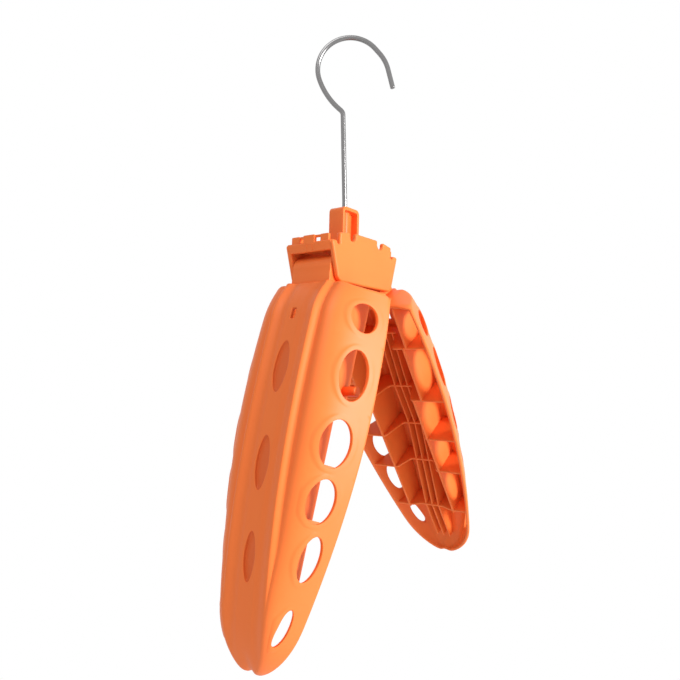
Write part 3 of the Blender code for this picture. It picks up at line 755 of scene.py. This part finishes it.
def shoulder_point(u, share, t=0.0):
    """Quadratic curve through the rounding: share 0 at the back, 1 at the wall."""
    v_flat, w_flat, corner, end = shoulder(u, t)
    v = (1 - share) ** 2 * v_flat + 2 * share * (1 - share) * corner + share ** 2 * wall_v(u, end, t)
    return v, w_flat - share ** 2 * (w_flat - end)


def wall_top(u, t=0.0):
    """w at the share MEET of the rounding, where the wall's patches meet the back's grid."""
    return shoulder_point(u, MEET, t)[1]


def side_v(u, w, t=0.0):
    """v of the side at a height: the wall itself, or the rounding above it."""
    v_flat, w_flat, corner, end = shoulder(u, t)
    share = np.sqrt(clamp((w_flat - w) / np.maximum(w_flat - end, 0.001 * MM)))
    return np.where(w < end, wall_v(u, w, t), shoulder_point(u, share, t)[0])


print("wall and back meet", round(1000 * float(wall_top(WIDEST_U) - RIM_W), 1), "mm above the rim plane")

# %% From the arm's coordinates to a point
def rim_w(u):
    """w where the wall runs out into the rounded rim."""
    return RIM_W + 1.0 * MM * round_off(u)


def back_vw(u, f, t=0.0):
    """v and w across the back: flutes up to BACK_END of its half width, then the rounding up to MEET."""
    size = np.abs(f)
    share = clamp((size - BACK_END) / (1.0 - BACK_END)) * MEET
    v_round, w_round = shoulder_point(u, share, t)
    v_flat = size * back_half(u, t)
    w_flat = back_level(size, u, t)
    return np.sign(f) * np.where(share > 0.0, v_round, v_flat), np.where(share > 0.0, w_round, w_flat)


def arm_point(u, v, w):
    """Point of the arm: its rounded shoulder corners move towards the tip, and the tip is notched.

    A corner moves by CORNER_BACK at the back and by less towards the rim, where the wall's own corner
    is a quarter circle: at height h it moves by R - sqrt(R R - (R - h)(R - h)).
    """
    size = np.abs(v) / np.maximum(half_width(u), MM)
    outward = clamp((size - CORNER_FROM) / (1.0 - CORNER_FROM))
    fade = clamp(1.0 - (u - SHOULDER_U) / CORNER_RUN)
    rise = CORNER_RIM + (1.0 - CORNER_RIM) * clamp((w - RIM_W) / CORNER_RISE) ** 2
    short = np.clip(RIM_CORNER - (w - RIM_W), 0.0, RIM_CORNER)
    corner = CORNER_BACK * np.minimum(1.0, outward * 1.6) * rise
    corner = fade * (corner + outward ** 3 * (RIM_CORNER - np.sqrt(RIM_CORNER ** 2 - short ** 2)))
    notch = TIP_NOTCH * np.exp(-(v / NOTCH_HALF) ** 2) * clamp(1.0 - (TIP_U - u) / NOTCH_RUN)
    return np.stack([w + 0 * u, v + 0 * u, -(u + corner - notch)], axis=-1)


print("tip of the arm:", (1000 * arm_point(TIP_U, 0.0, RIM_W)).round(1).tolist(), "mm")

# %% [markdown]
# ## Patches with a hole in the middle
# Each side wall has six oval openings and the back has three lens-shaped hollows and a slot.  A grid
# can't turn round such an opening, so each lies in a patch of its own: rays run from the opening's
# centre to every point of the patch's four sides, and the rings between them change slowly from the
# opening's outline to the sides.  All the outlines are superellipses, which differ only in power:
# 2 is an oval, less is a leaner lens, and 8 is almost a rectangle.

# %% Stations along the arm and patches around openings
SIDE_HOLES = ((29.3, -5.2, 8.9, 7.6), (61.9, -5.0, 14.2, 7.8), (98.6, -4.1, 12.7, 7.9),
              (127.9, -5.3, 11.5, 7.0), (155.8, -9.2, 11.5, 5.0), (189.5, -9.6, 9.4, 2.9))
HOLE_EDGES = (16.8, 43.0, 81.0, 113.9, 141.9, 173.7, 202.5)
LENSES = ((62.8, 14.5, 4.8), (114.0, 14.1, 4.4), (160.4, 12.3, 3.8))
LENS_EDGES = ((45.0, 81.0), (97.0, 131.0), (145.0, 176.0))
SLOT = (32.25, 3.25, 1.65)
SLOT_EDGES = (26.0, 39.0)
OVAL, LENS, RECTANGLE = 2.0, 1.8, 8.0
LENS_DEPTH = 1.7 * MM
FLOOR_TILT = 0.4
END_ROUND = 2.2 * MM
CENTRE = 0.25
NEAR_LIMIT = 0.85
FAR_RINGS = (0.17, 0.34, 0.5, 0.67, 0.83, 1.0)
TOUCH = 0.0001 * MM


def part_of(us, start, end):
    """The stations from start to end, both included."""
    return us[(us >= start * MM - TOUCH) & (us <= end * MM + TOUCH)]


def stations(spacing):
    """u values that include every patch edge and crowd together at the rounded tip."""
    edges = np.unique(np.array([SHOULDER_U / MM + END_ROUND / MM, *HOLE_EDGES, *SLOT_EDGES,
                                *[e for pair in LENS_EDGES for e in pair]]))
    pieces = [np.linspace(a, b, max(1, int(round((b - a) / spacing))) + 1)[:-1]
              for a, b in zip(edges, edges[1:])]
    last = HOLE_EDGES[-1]
    tip = last + (TIP_U / MM - last) * np.sin(np.linspace(0.0, math.pi / 2, 15))
    return np.concatenate([*pieces, tip]) * MM


def loop(us, sides_low, sides_high, count):
    """Sides of a patch as one closed loop of (u, share): up one side, back down the other."""
    across = np.linspace(sides_low, sides_high, count)
    return np.concatenate([np.stack([us, np.full_like(us, sides_high)], axis=1)[:-1],
                           np.stack([np.full(count, us[-1]), across[::-1]], axis=1)[:-1],
                           np.stack([us[::-1], np.full_like(us, sides_low)], axis=1)[:-1],
                           np.stack([np.full(count, us[0]), across], axis=1)[:-1]])


def edge_distance(direction, a, b, power):
    """Distance from a superellipse's centre to its edge, where (x / a)^power + (y / b)^power is 1."""
    x, y = np.abs(direction).T
    return ((x / a) ** power + (y / b) ** power) ** (-1 / power)


def between(inner, outer, near):
    """Points from the opening's edge to the patch's sides: close rings first, then even ones."""
    span = outer - inner
    length = np.linalg.norm(span, axis=1, keepdims=True)
    rings = [inner + span * np.minimum(distance / length, NEAR_LIMIT) for distance in near]
    last = rings[-1]
    rings += [last + (outer - last) * share for share in FAR_RINGS]
    return np.stack(rings)


U_FINE = stations(1.5)
print("stations along the arm:", len(U_FINE))

# %% [markdown]
# ## The openings of the side walls
# Each oval opening has a flat land around it that faces more to the side than the wall does.  The
# wall slants, so the land stands proud towards the back of the arm, though never by more than
# LAND_CAP, and runs out into the wall near the rim.  That is why every opening shows a bright
# crescent on one side only.  On the inner face the opening is a little wider, as a tapered core of
# the mould leaves it, so only a thin line of its edge shows.

# %% Side wall patches
LAND = 3.4 * MM
LAND_FLAT = 0.6
LAND_FROM = 0.5
LAND_CAP = 1.0 * MM
HOLE_FLARE = 0.5 * MM
SMALL_HOLE = 4.0 * MM
SMALL_HOLE_DIP = 1.4 * MM
WALL_COLUMNS = 13
NEAR_HOLE = np.array([0.0, 0.15, 0.5, 1.2, 2.0, 2.4, 2.8, 3.3]) * MM


def wall_patch(us, hole, t, side):
    """One bay of a side wall around its opening; the land raises |v| towards its plane.

    Where the plane lies d outside the wall, the land stands c d / (c + d) proud of it, with c the
    cap, and a cosine takes this down to nothing over the land's outer part.
    """
    u0, w0, a, b = (value * MM for value in hole)
    if t > 0.0 and b > SMALL_HOLE:
        a, b = a + HOLE_FLARE, b + HOLE_FLARE
    elif t > 0.0:
        w0, b = w0 - SMALL_HOLE_DIP, 0.8 * b
    edge = loop(us, 0.0, 1.0, WALL_COLUMNS)
    low, high = rim_w(edge[:, 0]), wall_top(edge[:, 0], t)
    outer = np.stack([edge[:, 0], low + (high - low) * edge[:, 1]], axis=1)
    centre = np.array([u0, w0])
    ray = unit(outer - centre)
    inner = centre + ray * edge_distance(ray, a, b, OVAL)[:, None]
    rings = between(inner, outer, NEAR_HOLE)
    u, w = rings[..., 0], rings[..., 1]
    v = side_v(u, w, t)
    if t == 0.0:
        away = np.linalg.norm(rings - inner[None], axis=-1)
        limit = np.minimum(LAND, 0.97 * np.linalg.norm(outer - inner, axis=-1))[None]
        low = w0 - LAND_FROM * b
        plane = wall_v(u, low) - wall_lean(u, low) * (w - low)
        share = clamp((away - LAND_FLAT * limit) / ((1.0 - LAND_FLAT) * limit))
        proud = np.maximum(plane - v, 0.0)
        v = v + LAND_CAP * proud / (LAND_CAP + proud) * (1.0 + np.cos(math.pi * share)) / 2.0
    return arm_point(u, side * v, w)


def strip_between(first, second, bulge):
    """Rounded strip between two loops of points: half an ellipse whose middle stands out by the bulge."""
    middle = (first + second) / 2
    half = (first - second) / 2
    angle = np.linspace(0.0, math.pi, 9)[:, None, None]
    return middle + half * np.cos(angle) + bulge * np.sin(angle)


def wall_side(surface, t, side, us_all):
    """A whole side wall: plain grids at both ends and one patch for each opening between them."""
    holes = []
    for hole, start, end in zip(SIDE_HOLES, HOLE_EDGES, HOLE_EDGES[1:]):
        rings = wall_patch(part_of(us_all, start, end), hole, t, side)
        surface.add_grid(rings, around=True)
        holes.append(rings[0])
    for us in (part_of(us_all, 0.0, HOLE_EDGES[0]), part_of(us_all, HOLE_EDGES[-1], TIP_U / MM)):
        u = us[:, None] + 0 * np.linspace(0.0, 1.0, WALL_COLUMNS)
        w = rim_w(u) + (wall_top(u, t) - rim_w(u)) * np.linspace(0.0, 1.0, WALL_COLUMNS)
        surface.add_grid(arm_point(u, side * side_v(u, w, t), w))
    return holes


print("side openings:", len(SIDE_HOLES), "on each side")

# %% [markdown]
# ## The fluted back
# The back is a plain grid on both sides of a centre strip.  The strip holds the lens-shaped hollows,
# which only save plastic, and the slot near the neck, through which a strap or zip cord can be hung.
# A hollow's floor rises towards one side, so its deep side reads as a dark line.

# %% Patches of the back
BACK_F = np.concatenate([np.linspace(CENTRE, BACK_END, 38)[:-1], np.linspace(BACK_END, 1.0, 10)])
CENTRE_F = np.linspace(-CENTRE, CENTRE, 13)
NEAR_HOLLOW = np.array([0.0, 0.12, 0.35, 0.7]) * MM
EDGE_DROP = np.array([0.22, 0.07, 0.0]) * MM
FLOOR_RINGS = np.array([0.0, 0.3, 0.6, 0.8, 0.93, 0.97, 0.99])
FLOOR_DROP = LENS_DEPTH * np.array([1.0, 1.0, 1.0, 0.97, 0.85, 0.6, 0.36])


def centre_patch(us, shape, power, has_floor, t):
    """Centre strip around one hollow: rings run out to its sides, and down and in to the floor."""
    u0, a, b = (value * MM for value in shape)
    edge = loop(us, -CENTRE, CENTRE, len(CENTRE_F))
    outer = np.stack([edge[:, 0], edge[:, 1] * back_half(edge[:, 0], t)], axis=1)
    centre = np.array([u0, 0.0])
    ray = unit(outer - centre)
    size = edge_distance(ray, a, b, power)[:, None]
    rings = between(centre + ray * size, outer, NEAR_HOLLOW)
    drop = np.zeros(len(rings))
    drop[:len(EDGE_DROP)] = EDGE_DROP
    if has_floor:
        rings = np.concatenate([centre + ray[None] * size[None] * FLOOR_RINGS[:, None, None], rings])
        drop = np.concatenate([FLOOR_DROP, drop])
    u, v = rings[..., 0], rings[..., 1]
    half = np.maximum(back_half(u, t), 0.1 * MM)
    tilt = 1.0 - FLOOR_TILT * clamp(0.5 + v / (2 * b)) * (drop[:, None] > EDGE_DROP[0])
    return arm_point(u, v, back_level(v / half, u, t) - drop[:, None] * tilt)


def back_grid(surface, us, columns, t):
    """Plain grid of the back over some stations and some columns, given as shares of its half width."""
    u, f = np.meshgrid(us, columns, indexing="ij")
    surface.add_grid(arm_point(u, *back_vw(u, f, t)))


def back(surface, t, us_all, hollows):
    """The whole back; returns the edge of the slot, which comes first along the strip."""
    for side in (-1, 1):
        back_grid(surface, us_all, side * BACK_F, t)
    patches = [(SLOT_EDGES, SLOT, RECTANGLE, False)]
    if hollows:
        patches += [(edges, lens, LENS, True) for edges, lens in zip(LENS_EDGES, LENSES)]
    start = us_all[0] / MM
    inner_edges = []
    for (low, high), shape, power, has_floor in patches:
        rings = centre_patch(part_of(us_all, low, high), shape, power, has_floor, t)
        surface.add_grid(rings, around=True)
        inner_edges.append(rings[0])
        back_grid(surface, part_of(us_all, start, low), CENTRE_F, t)
        start = high
    back_grid(surface, part_of(us_all, start, TIP_U / MM), CENTRE_F, t)
    return inner_edges[0]


print("back columns on each side:", len(BACK_F))

# %% [markdown]
# ## Closing the shell
# The shoulder end turns down in a rounded edge to the rim.  The outer and inner faces then meet in a
# rounded rim all the way round, and a rounded strip lines every opening.  The shell is one closed
# surface in the end, which the printed count of open edges confirms.

# %% The shell of an arm
CURL = 7
DOWN = 9
OUTER_FROM = 0.8
HOLE_BULGE = 0.35 * MM
SLOT_BULGE = 0.2 * MM
RIM_BULGE = 1.0 * MM
# Painted shade of the lens hollows: the depth at which it is full, and its reach past the lens outline.
HOLLOW_SHADE_FULL = 0.6 * MM
HOLLOW_SHADE_RIM = 0.4 * MM


def end_wall(surface, t, us_all):
    """Shoulder end: the first section curls down through a quarter circle, then runs straight to the rim.

    Returns its free edge, from the rim of one wall to the rim of the other.
    """
    u0 = us_all[0]
    f = np.concatenate([-BACK_F[::-1], CENTRE_F[1:-1], BACK_F])
    v, w = back_vw(np.full_like(f, u0), f, t)
    low, high = rim_w(u0), wall_top(u0, t)
    w_side = low + (high - low) * np.linspace(1.0, 0.0, WALL_COLUMNS)[1:]
    v_side = side_v(u0, w_side, t)
    v = np.concatenate([-v_side[::-1], v, v_side])
    w = np.concatenate([w_side[::-1], w, w_side])
    radius = np.minimum(END_ROUND - t * 0.5, 0.45 * (w - low))
    angle = np.linspace(0.0, math.pi / 2, CURL)[:, None]
    u_rows = u0 - radius * np.sin(angle)
    w_rows = w - radius * (1 - np.cos(angle))
    v_rows = np.repeat(v[None], CURL, axis=0)
    down = np.linspace(0.0, 1.0, DOWN)[1:, None]
    outer_share = clamp((np.abs(v) / half_width(u0) - OUTER_FROM) / (1.0 - OUTER_FROM))
    rim_u = SHOULDER_RIM_U + t + 0.3 * CORNER_BACK * outer_share ** 2
    u_down = u_rows[-1] + (np.minimum(rim_u, u_rows[-1]) - u_rows[-1]) * down
    w_down = w_rows[-1] + (low - w_rows[-1]) * down
    v_down = v * (1 - 0.05 * down * np.minimum(1.0, (w - low) / (10 * MM)))
    points = arm_point(np.concatenate([u_rows, u_down]), np.concatenate([v_rows, v_down]),
                       np.concatenate([w_rows, w_down]))
    surface.add_grid(points)
    return np.concatenate([points[CURL:, 0], points[-1, 1:-1], points[CURL:, -1][::-1]])


print("end wall:", CURL + DOWN - 1, "rows")

# %% Join the two faces
def rim_loop(us, t, end_edge):
    """Edge of one face: along one wall, round the tip, back along the other, across the shoulder."""
    w = rim_w(us)
    v = side_v(us, w, t)
    return np.concatenate([arm_point(us, v, w), arm_point(us, -v, w)[::-1][1:], end_edge])


def drawn_in(us, t):
    """Stations of one face: the last stretch is squeezed so that the face ends t before the tip."""
    start = HOLE_EDGES[-1] * MM
    return np.where(us > start, start + (us - start) * (TIP_U - t - start) / (TIP_U - start), us)


def make_shell():
    """Outer face, inner face, and the rounded strips that join them."""
    surface = Surface()
    faces = []
    for t, hollows in ((0.0, True), (SKIN_T, False)):
        us = drawn_in(U_FINE, t)
        holes = wall_side(surface, t, 1, us) + wall_side(surface, t, -1, us)
        slot = back(surface, t, us, hollows)
        faces.append((holes, slot, rim_loop(us, t, end_wall(surface, t, us))))
    (holes_out, slot_out, rim_out), (holes_in, slot_in, rim_in) = faces
    for out, deep in zip(holes_out, holes_in):
        middle = (out + deep) / 2
        bulge = HOLE_BULGE * unit(middle.mean(axis=0) - middle)
        surface.add_grid(strip_between(out, deep, bulge), around=True)
    bulge = SLOT_BULGE * unit(slot_out.mean(axis=0) - slot_out)
    surface.add_grid(strip_between(slot_out, slot_in, bulge), around=True)
    surface.add_grid(strip_between(rim_out, rim_in, RIM_BULGE * np.array([-1.0, 0.0, 0.0])), around=True)
    return surface


def mark_hollow_shade(data):
    """Attribute of painted shade for the lens hollows: 0 on the back, rising to 1 at a set depth below it
    inside a lens.
    """
    place = np.zeros(3 * len(data.vertices))
    data.vertices.foreach_get("co", place)
    w, v, u = place.reshape(-1, 3).T * np.array([[1.0], [1.0], [-1.0]])
    drop = back_level(v / np.maximum(back_half(u), MM), u) - w
    inside = np.zeros(len(u), dtype=bool)
    for u0, a, b in np.array(LENSES) * MM:
        x, y = np.abs(u - u0) / (a + HOLLOW_SHADE_RIM), np.abs(v) / (b + HOLLOW_SHADE_RIM)
        inside |= x ** LENS + y ** LENS < 1.0
    # Painted shade: darker the deeper the point lies below the back inside a lens.
    level = clamp(drop / HOLLOW_SHADE_FULL) * inside * (drop < LENS_DEPTH + 0.1 * MM)
    data.attributes.new("hollow_shade", "FLOAT", "POINT").data.foreach_set("value", level.astype(np.float32))
    return int((level > 0.5).sum())


shell_mesh = make_shell().mesh("arm_shell", 0.02 * MM)
print("points in the hollows:", mark_hollow_shade(shell_mesh))
print("shell:", len(shell_mesh.polygons), "faces,", int((edge_use(shell_mesh) != 2).sum()), "open edges")

# %% [markdown]
# ## Ribs inside the arm
# The open side shows the ribs that make a thin shell stiff: two long walls, five ribs across them
# and three low ribs along the middle.  A rib is a thin upright band.  It is drawn as a section with
# a rounded free edge, a little thicker at its root so that it leaves the mould, carried along its line.

# %% Rib tools and sizes
LONG_WALL_V = (26.0 * MM, 23.8 * MM, 17.6 * MM)
LONG_WALL_END = TIP_U - 40.0 * MM
EDGE_W = RIM_W + 1.2 * MM
CROSS_RIBS = ((40.0, 1.2), (79.5, -2.5), (111.0, -2.5), (138.5, -8.5), (174.0, -16.2))
THIN_RIB_V = 5.0 * MM
THIN_RIB_END = TIP_U - 12.0 * MM
RAMP_FROM = 7.5 * MM
RAMP_RUN = 9.3 * MM
PEG_R = 2.7 * MM
PEG_LENGTH = 9.5 * MM
PEG_U = 68.0 * MM
PEG_W = -14.0 * MM


def under_back(u, v):
    """w well inside the shell's thickness: under the back, under the rounding or under the wall.

    The rounding is a quadratic curve, so its share at a given v is the root of a quadratic equation.
    """
    back_w = back_level(np.abs(v) / np.maximum(back_half(u), MM), u)
    wall_w = RIM_W + (half_width(u) + 0.6 * MM - np.abs(v)) / WALL_SLOPE
    v_flat, w_flat, corner, end = shoulder(u)
    bent = v_flat - 2 * corner + wall_v(u, end)
    slope = 2 * (corner - v_flat)
    past = np.maximum(np.abs(v) - v_flat, 0.0)
    share = 2 * past / (slope + np.sqrt(np.maximum(slope ** 2 + 4 * bent * past, 0.0)) + 1e-9)
    round_w = w_flat - clamp(share) ** 2 * (w_flat - end) - 0.8 * MM * (past > 0.0)
    return np.minimum(np.minimum(back_w, wall_w), round_w) - 1.65 * MM


def rib(surface, u, v, root, edge, half):
    """Upright band along (u, v): from root down to a rounded edge, with 1 in 40 of draft."""
    path = np.stack([u, v], axis=1)
    tangent = unit(np.gradient(path, axis=0))
    angle = np.linspace(0.0, math.pi, 7)
    root = np.maximum(root, edge + 2.2 * half)
    wide = half + (root - edge) / 40
    offset = np.concatenate([[wide], half * np.cos(angle)[:, None] + 0 * u[None], [-wide]])
    level = np.concatenate([[root], edge[None] + half * (1 - np.sin(angle))[:, None], [root]])
    points = arm_point(u - tangent[:, 1] * offset, v + tangent[:, 0] * offset, level)
    points = points.transpose(1, 0, 2)
    surface.add_tube(points)


def rib_edge(u):
    """w of the free edges in the middle channel, straight from one cross rib to the next."""
    place, level = np.array(CROSS_RIBS).T * MM
    return np.interp(u, place, level)


print("cross ribs:", len(CROSS_RIBS))

# %% Build the ribs
ribs = Surface()
breaks = (11.8 * MM, CROSS_RIBS[0][0] * MM, CROSS_RIBS[1][0] * MM, LONG_WALL_END)
for v0, start, end in zip(LONG_WALL_V, breaks, breaks[1:]):
    along = np.linspace(start, end, max(12, int((end - start) / (1.5 * MM))))
    for side in (-1, 1):
        here = 0 * along + side * v0
        rib(ribs, along, here, under_back(along, here), 0 * along + EDGE_W - 0.2 * MM, 0.8 * MM)
for u0, level in CROSS_RIBS:
    reach = float(wall_v(u0 * MM, EDGE_W)) - 1.0 * MM
    across = np.linspace(-reach, reach, 61)
    rise = (1 + np.cos(math.pi * clamp((np.abs(across) - RAMP_FROM) / RAMP_RUN))) / 2
    place = 0 * across + u0 * MM
    rib(ribs, place, across, under_back(place, across), EDGE_W + (level * MM - EDGE_W) * rise, 0.75 * MM)
middle = np.linspace(CROSS_RIBS[0][0] * MM, THIN_RIB_END, 80)
for v0 in (-THIN_RIB_V, 0.0, THIN_RIB_V):
    here = 0 * middle + v0
    rib(ribs, middle, here, under_back(middle, here), rib_edge(middle) + 0.2 * MM, 0.55 * MM)
bar(ribs, PEG_R, LONG_WALL_V[1] - 0.3 * MM, LONG_WALL_V[1] + PEG_LENGTH, (PEG_W, 0.0, -PEG_U), "Y",
    0.5 * MM, 40)
rib_mesh = ribs.mesh("arm_ribs")
print("ribs:", len(rib_mesh.polygons), "faces")

# %% [markdown]
# ## Neck and hub
# The hub turns on the steel pin between the cheeks, and the neck joins it to the shoulder of the arm.
# Both are drawn as one outline with rounded edges, seen along the pin.

# %% Neck and hub
HUB_R = 7.7 * MM
HUB_HALF = CHEEK_IN - 0.45 * MM
neck = Surface()
turn = np.radians(np.linspace(62.0, 298.0, 30))
arc = [(HUB_R * math.cos(a), HUB_R * math.sin(a)) for a in turn]
root = SHOULDER_U + 1.2 * MM
outline = np.array([(root, -9.0 * MM), (root, 5.4 * MM), (9.0 * MM, 6.0 * MM), (6.3 * MM, 6.6 * MM),
                    *arc, (6.0 * MM, -7.2 * MM)])
plate(neck, outline, HUB_HALF, 0.4 * MM, (0, 0, -1), (1, 0, 0))
neck_mesh = neck.mesh("arm_neck")
print("neck:", len(neck_mesh.polygons), "faces")

# %% Put the arms in place
def arm_pose(name):
    """Place of an arm: tilted on its pin, the left one turned half a turn as well."""
    half_turn = Matrix.Rotation(0.0 if SIDE[name] > 0 else math.pi, 4, "Z")
    tilt = Matrix.Rotation(-TILT[name], 4, "Y")
    return Matrix.Translation((SIDE[name] * PIVOT_X, 0.0, PIVOT_Z)) @ half_turn @ tilt


def two_arms(name, data):
    """A piece of the arm for both arms, its place applied to its mesh."""
    pieces = []
    for arm in ("left_arm", "right_arm"):
        copy = data.copy()
        copy.transform(arm_pose(arm))
        pieces.append(show(f"{arm}_{name}", copy, arm, arm_plastic))
    return pieces


for piece, arm in zip(two_arms("shell", shell_mesh), ("left_arm", "right_arm")):
    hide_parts(arm)
two_arms("ribs", rib_mesh)
two_arms("neck", neck_mesh)

# %% [markdown]
# ## Floor, light and camera
# The photograph is a plain studio view on white: the hanger floats, lit mostly from the front right.
# The camera stands low at the front left and looks slightly up.

# %% Camera
camera_data = bpy.data.cameras.new("camera")
camera = new_object("camera", camera_data)
YAW, PITCH, ROLL = 0.914, 0.064, 0.023
CAMERA_PLACE = (-0.31796, -0.2440, PIVOT_Z - 0.06478)
FOCAL = 673.1
PICTURE = 680.0
forward = Vector((math.sin(YAW) * math.cos(PITCH), math.cos(YAW) * math.cos(PITCH), math.sin(PITCH)))
right = Vector((math.cos(YAW), -math.sin(YAW), 0.0))
up = right.cross(forward)
right, up = (math.cos(ROLL) * right + math.sin(ROLL) * up, -math.sin(ROLL) * right + math.cos(ROLL) * up)
turn = Matrix((right, up, -forward)).transposed().to_4x4()
camera.matrix_world = Matrix.Translation(CAMERA_PLACE) @ turn
camera_data.sensor_width = 36.0
camera_data.lens = camera_data.sensor_width * FOCAL / PICTURE
camera_data.clip_start = 0.01
bpy.context.scene.camera = camera
print("lens:", round(camera_data.lens, 1), "mm")

# %% Floor
FLOOR_Z = -0.75
FLOOR_HALF = 4.0
WHITE_FROM = 0.45
WHITE_AT = 0.80


def seen_directly(tree):
    """Node whose value is 1 for rays from the camera, mirror rays and rays through clear things."""
    kind = node(tree, "LightPath")
    seen = node(tree, "Math", {"operation": "MAXIMUM"})
    through = node(tree, "Math", {"operation": "MAXIMUM"})
    join(tree, (kind, "Is Camera Ray", seen, 0), (kind, "Is Glossy Ray", seen, 1),
         (seen, "Value", through, 0), (kind, "Is Transmission Ray", through, 1))
    return through


def pale_floor(name):
    """Pale matt floor: it keeps the shadow near the object and runs out into plain white."""
    material, tree, shader = new_material(name)
    shader.inputs["Base Color"].default_value = (0.9, 0.9, 0.9, 1.0)
    shader.inputs["Roughness"].default_value = 0.9
    place = node(tree, "TexCoord")
    away = node(tree, "VectorMath", {"operation": "LENGTH"})
    far = node(tree, "MapRange", {"interpolation_type": "SMOOTHSTEP"},
               from_min=WHITE_FROM, from_max=WHITE_AT)
    both = node(tree, "Math", {"operation": "MULTIPLY"})
    glow = node(tree, "Emission")
    blend = node(tree, "MixShader")
    join(tree, (place, "Object", away, 0), (away, "Value", far, "Value"), (far, "Result", both, 0),
         (seen_directly(tree), "Value", both, 1), (both, "Value", blend, "Fac"),
         (shader, "BSDF", blend, 1), (glow, "Emission", blend, 2),
         (blend, "Shader", tree.nodes["Material Output"], "Surface"))
    return material


floor_mesh = bpy.data.meshes.new("floor")
corners = [(a * FLOOR_HALF, b * FLOOR_HALF, 0) for a, b in ((-1, -1), (1, -1), (1, 1), (-1, 1))]
floor_mesh.from_pydata(corners, [], [(0, 1, 2, 3)])
floor = new_object("floor", floor_mesh)
floor.location = (0.0, 0.0, FLOOR_Z)
floor_mesh.materials.append(pale_floor("floor_pale"))
floor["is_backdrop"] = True
print("floor:", 2 * FLOOR_HALF, "m wide at", FLOOR_Z, "m")

# %% World and lamps
AMBIENT = 0.42
world = bpy.data.worlds.new("studio")
bpy.context.scene.world = world
world.use_nodes = True
background = world.node_tree.nodes["Background"]
background.inputs["Color"].default_value = (1.0, 1.0, 1.0, 1.0)
strength = node(world.node_tree, "MapRange", to_min=AMBIENT, to_max=1.0)
join(world.node_tree, (seen_directly(world.node_tree), "Value", strength, "Value"),
     (strength, "Result", background, "Strength"))


def lamp(name, place, target, size, watts):
    """Square area lamp that faces a target."""
    data = bpy.data.lights.new(name, "AREA")
    data.size = size
    data.energy = watts
    thing = new_object(name, data)
    thing.location = place
    thing.rotation_euler = (Vector(target) - Vector(place)).to_track_quat("-Z", "Y").to_euler()


lamp("key", (0.15, -1.60, 0.10), (0.0, 0.0, -0.25), 0.6, 34.0)
lamp("fill", (-1.10, -0.25, 1.20), (0.0, 0.0, -0.2), 0.9, 9.0)
bpy.context.scene.view_settings.view_transform = "Standard"
print("lights placed")

# %% Box of the dressed scene against the solid model's box
visual_box = [list(corner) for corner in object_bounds()]
growth = 1000 * (np.array(visual_box) - np.array(cad_box))
print("grown by (mm):", growth.round(1).tolist())
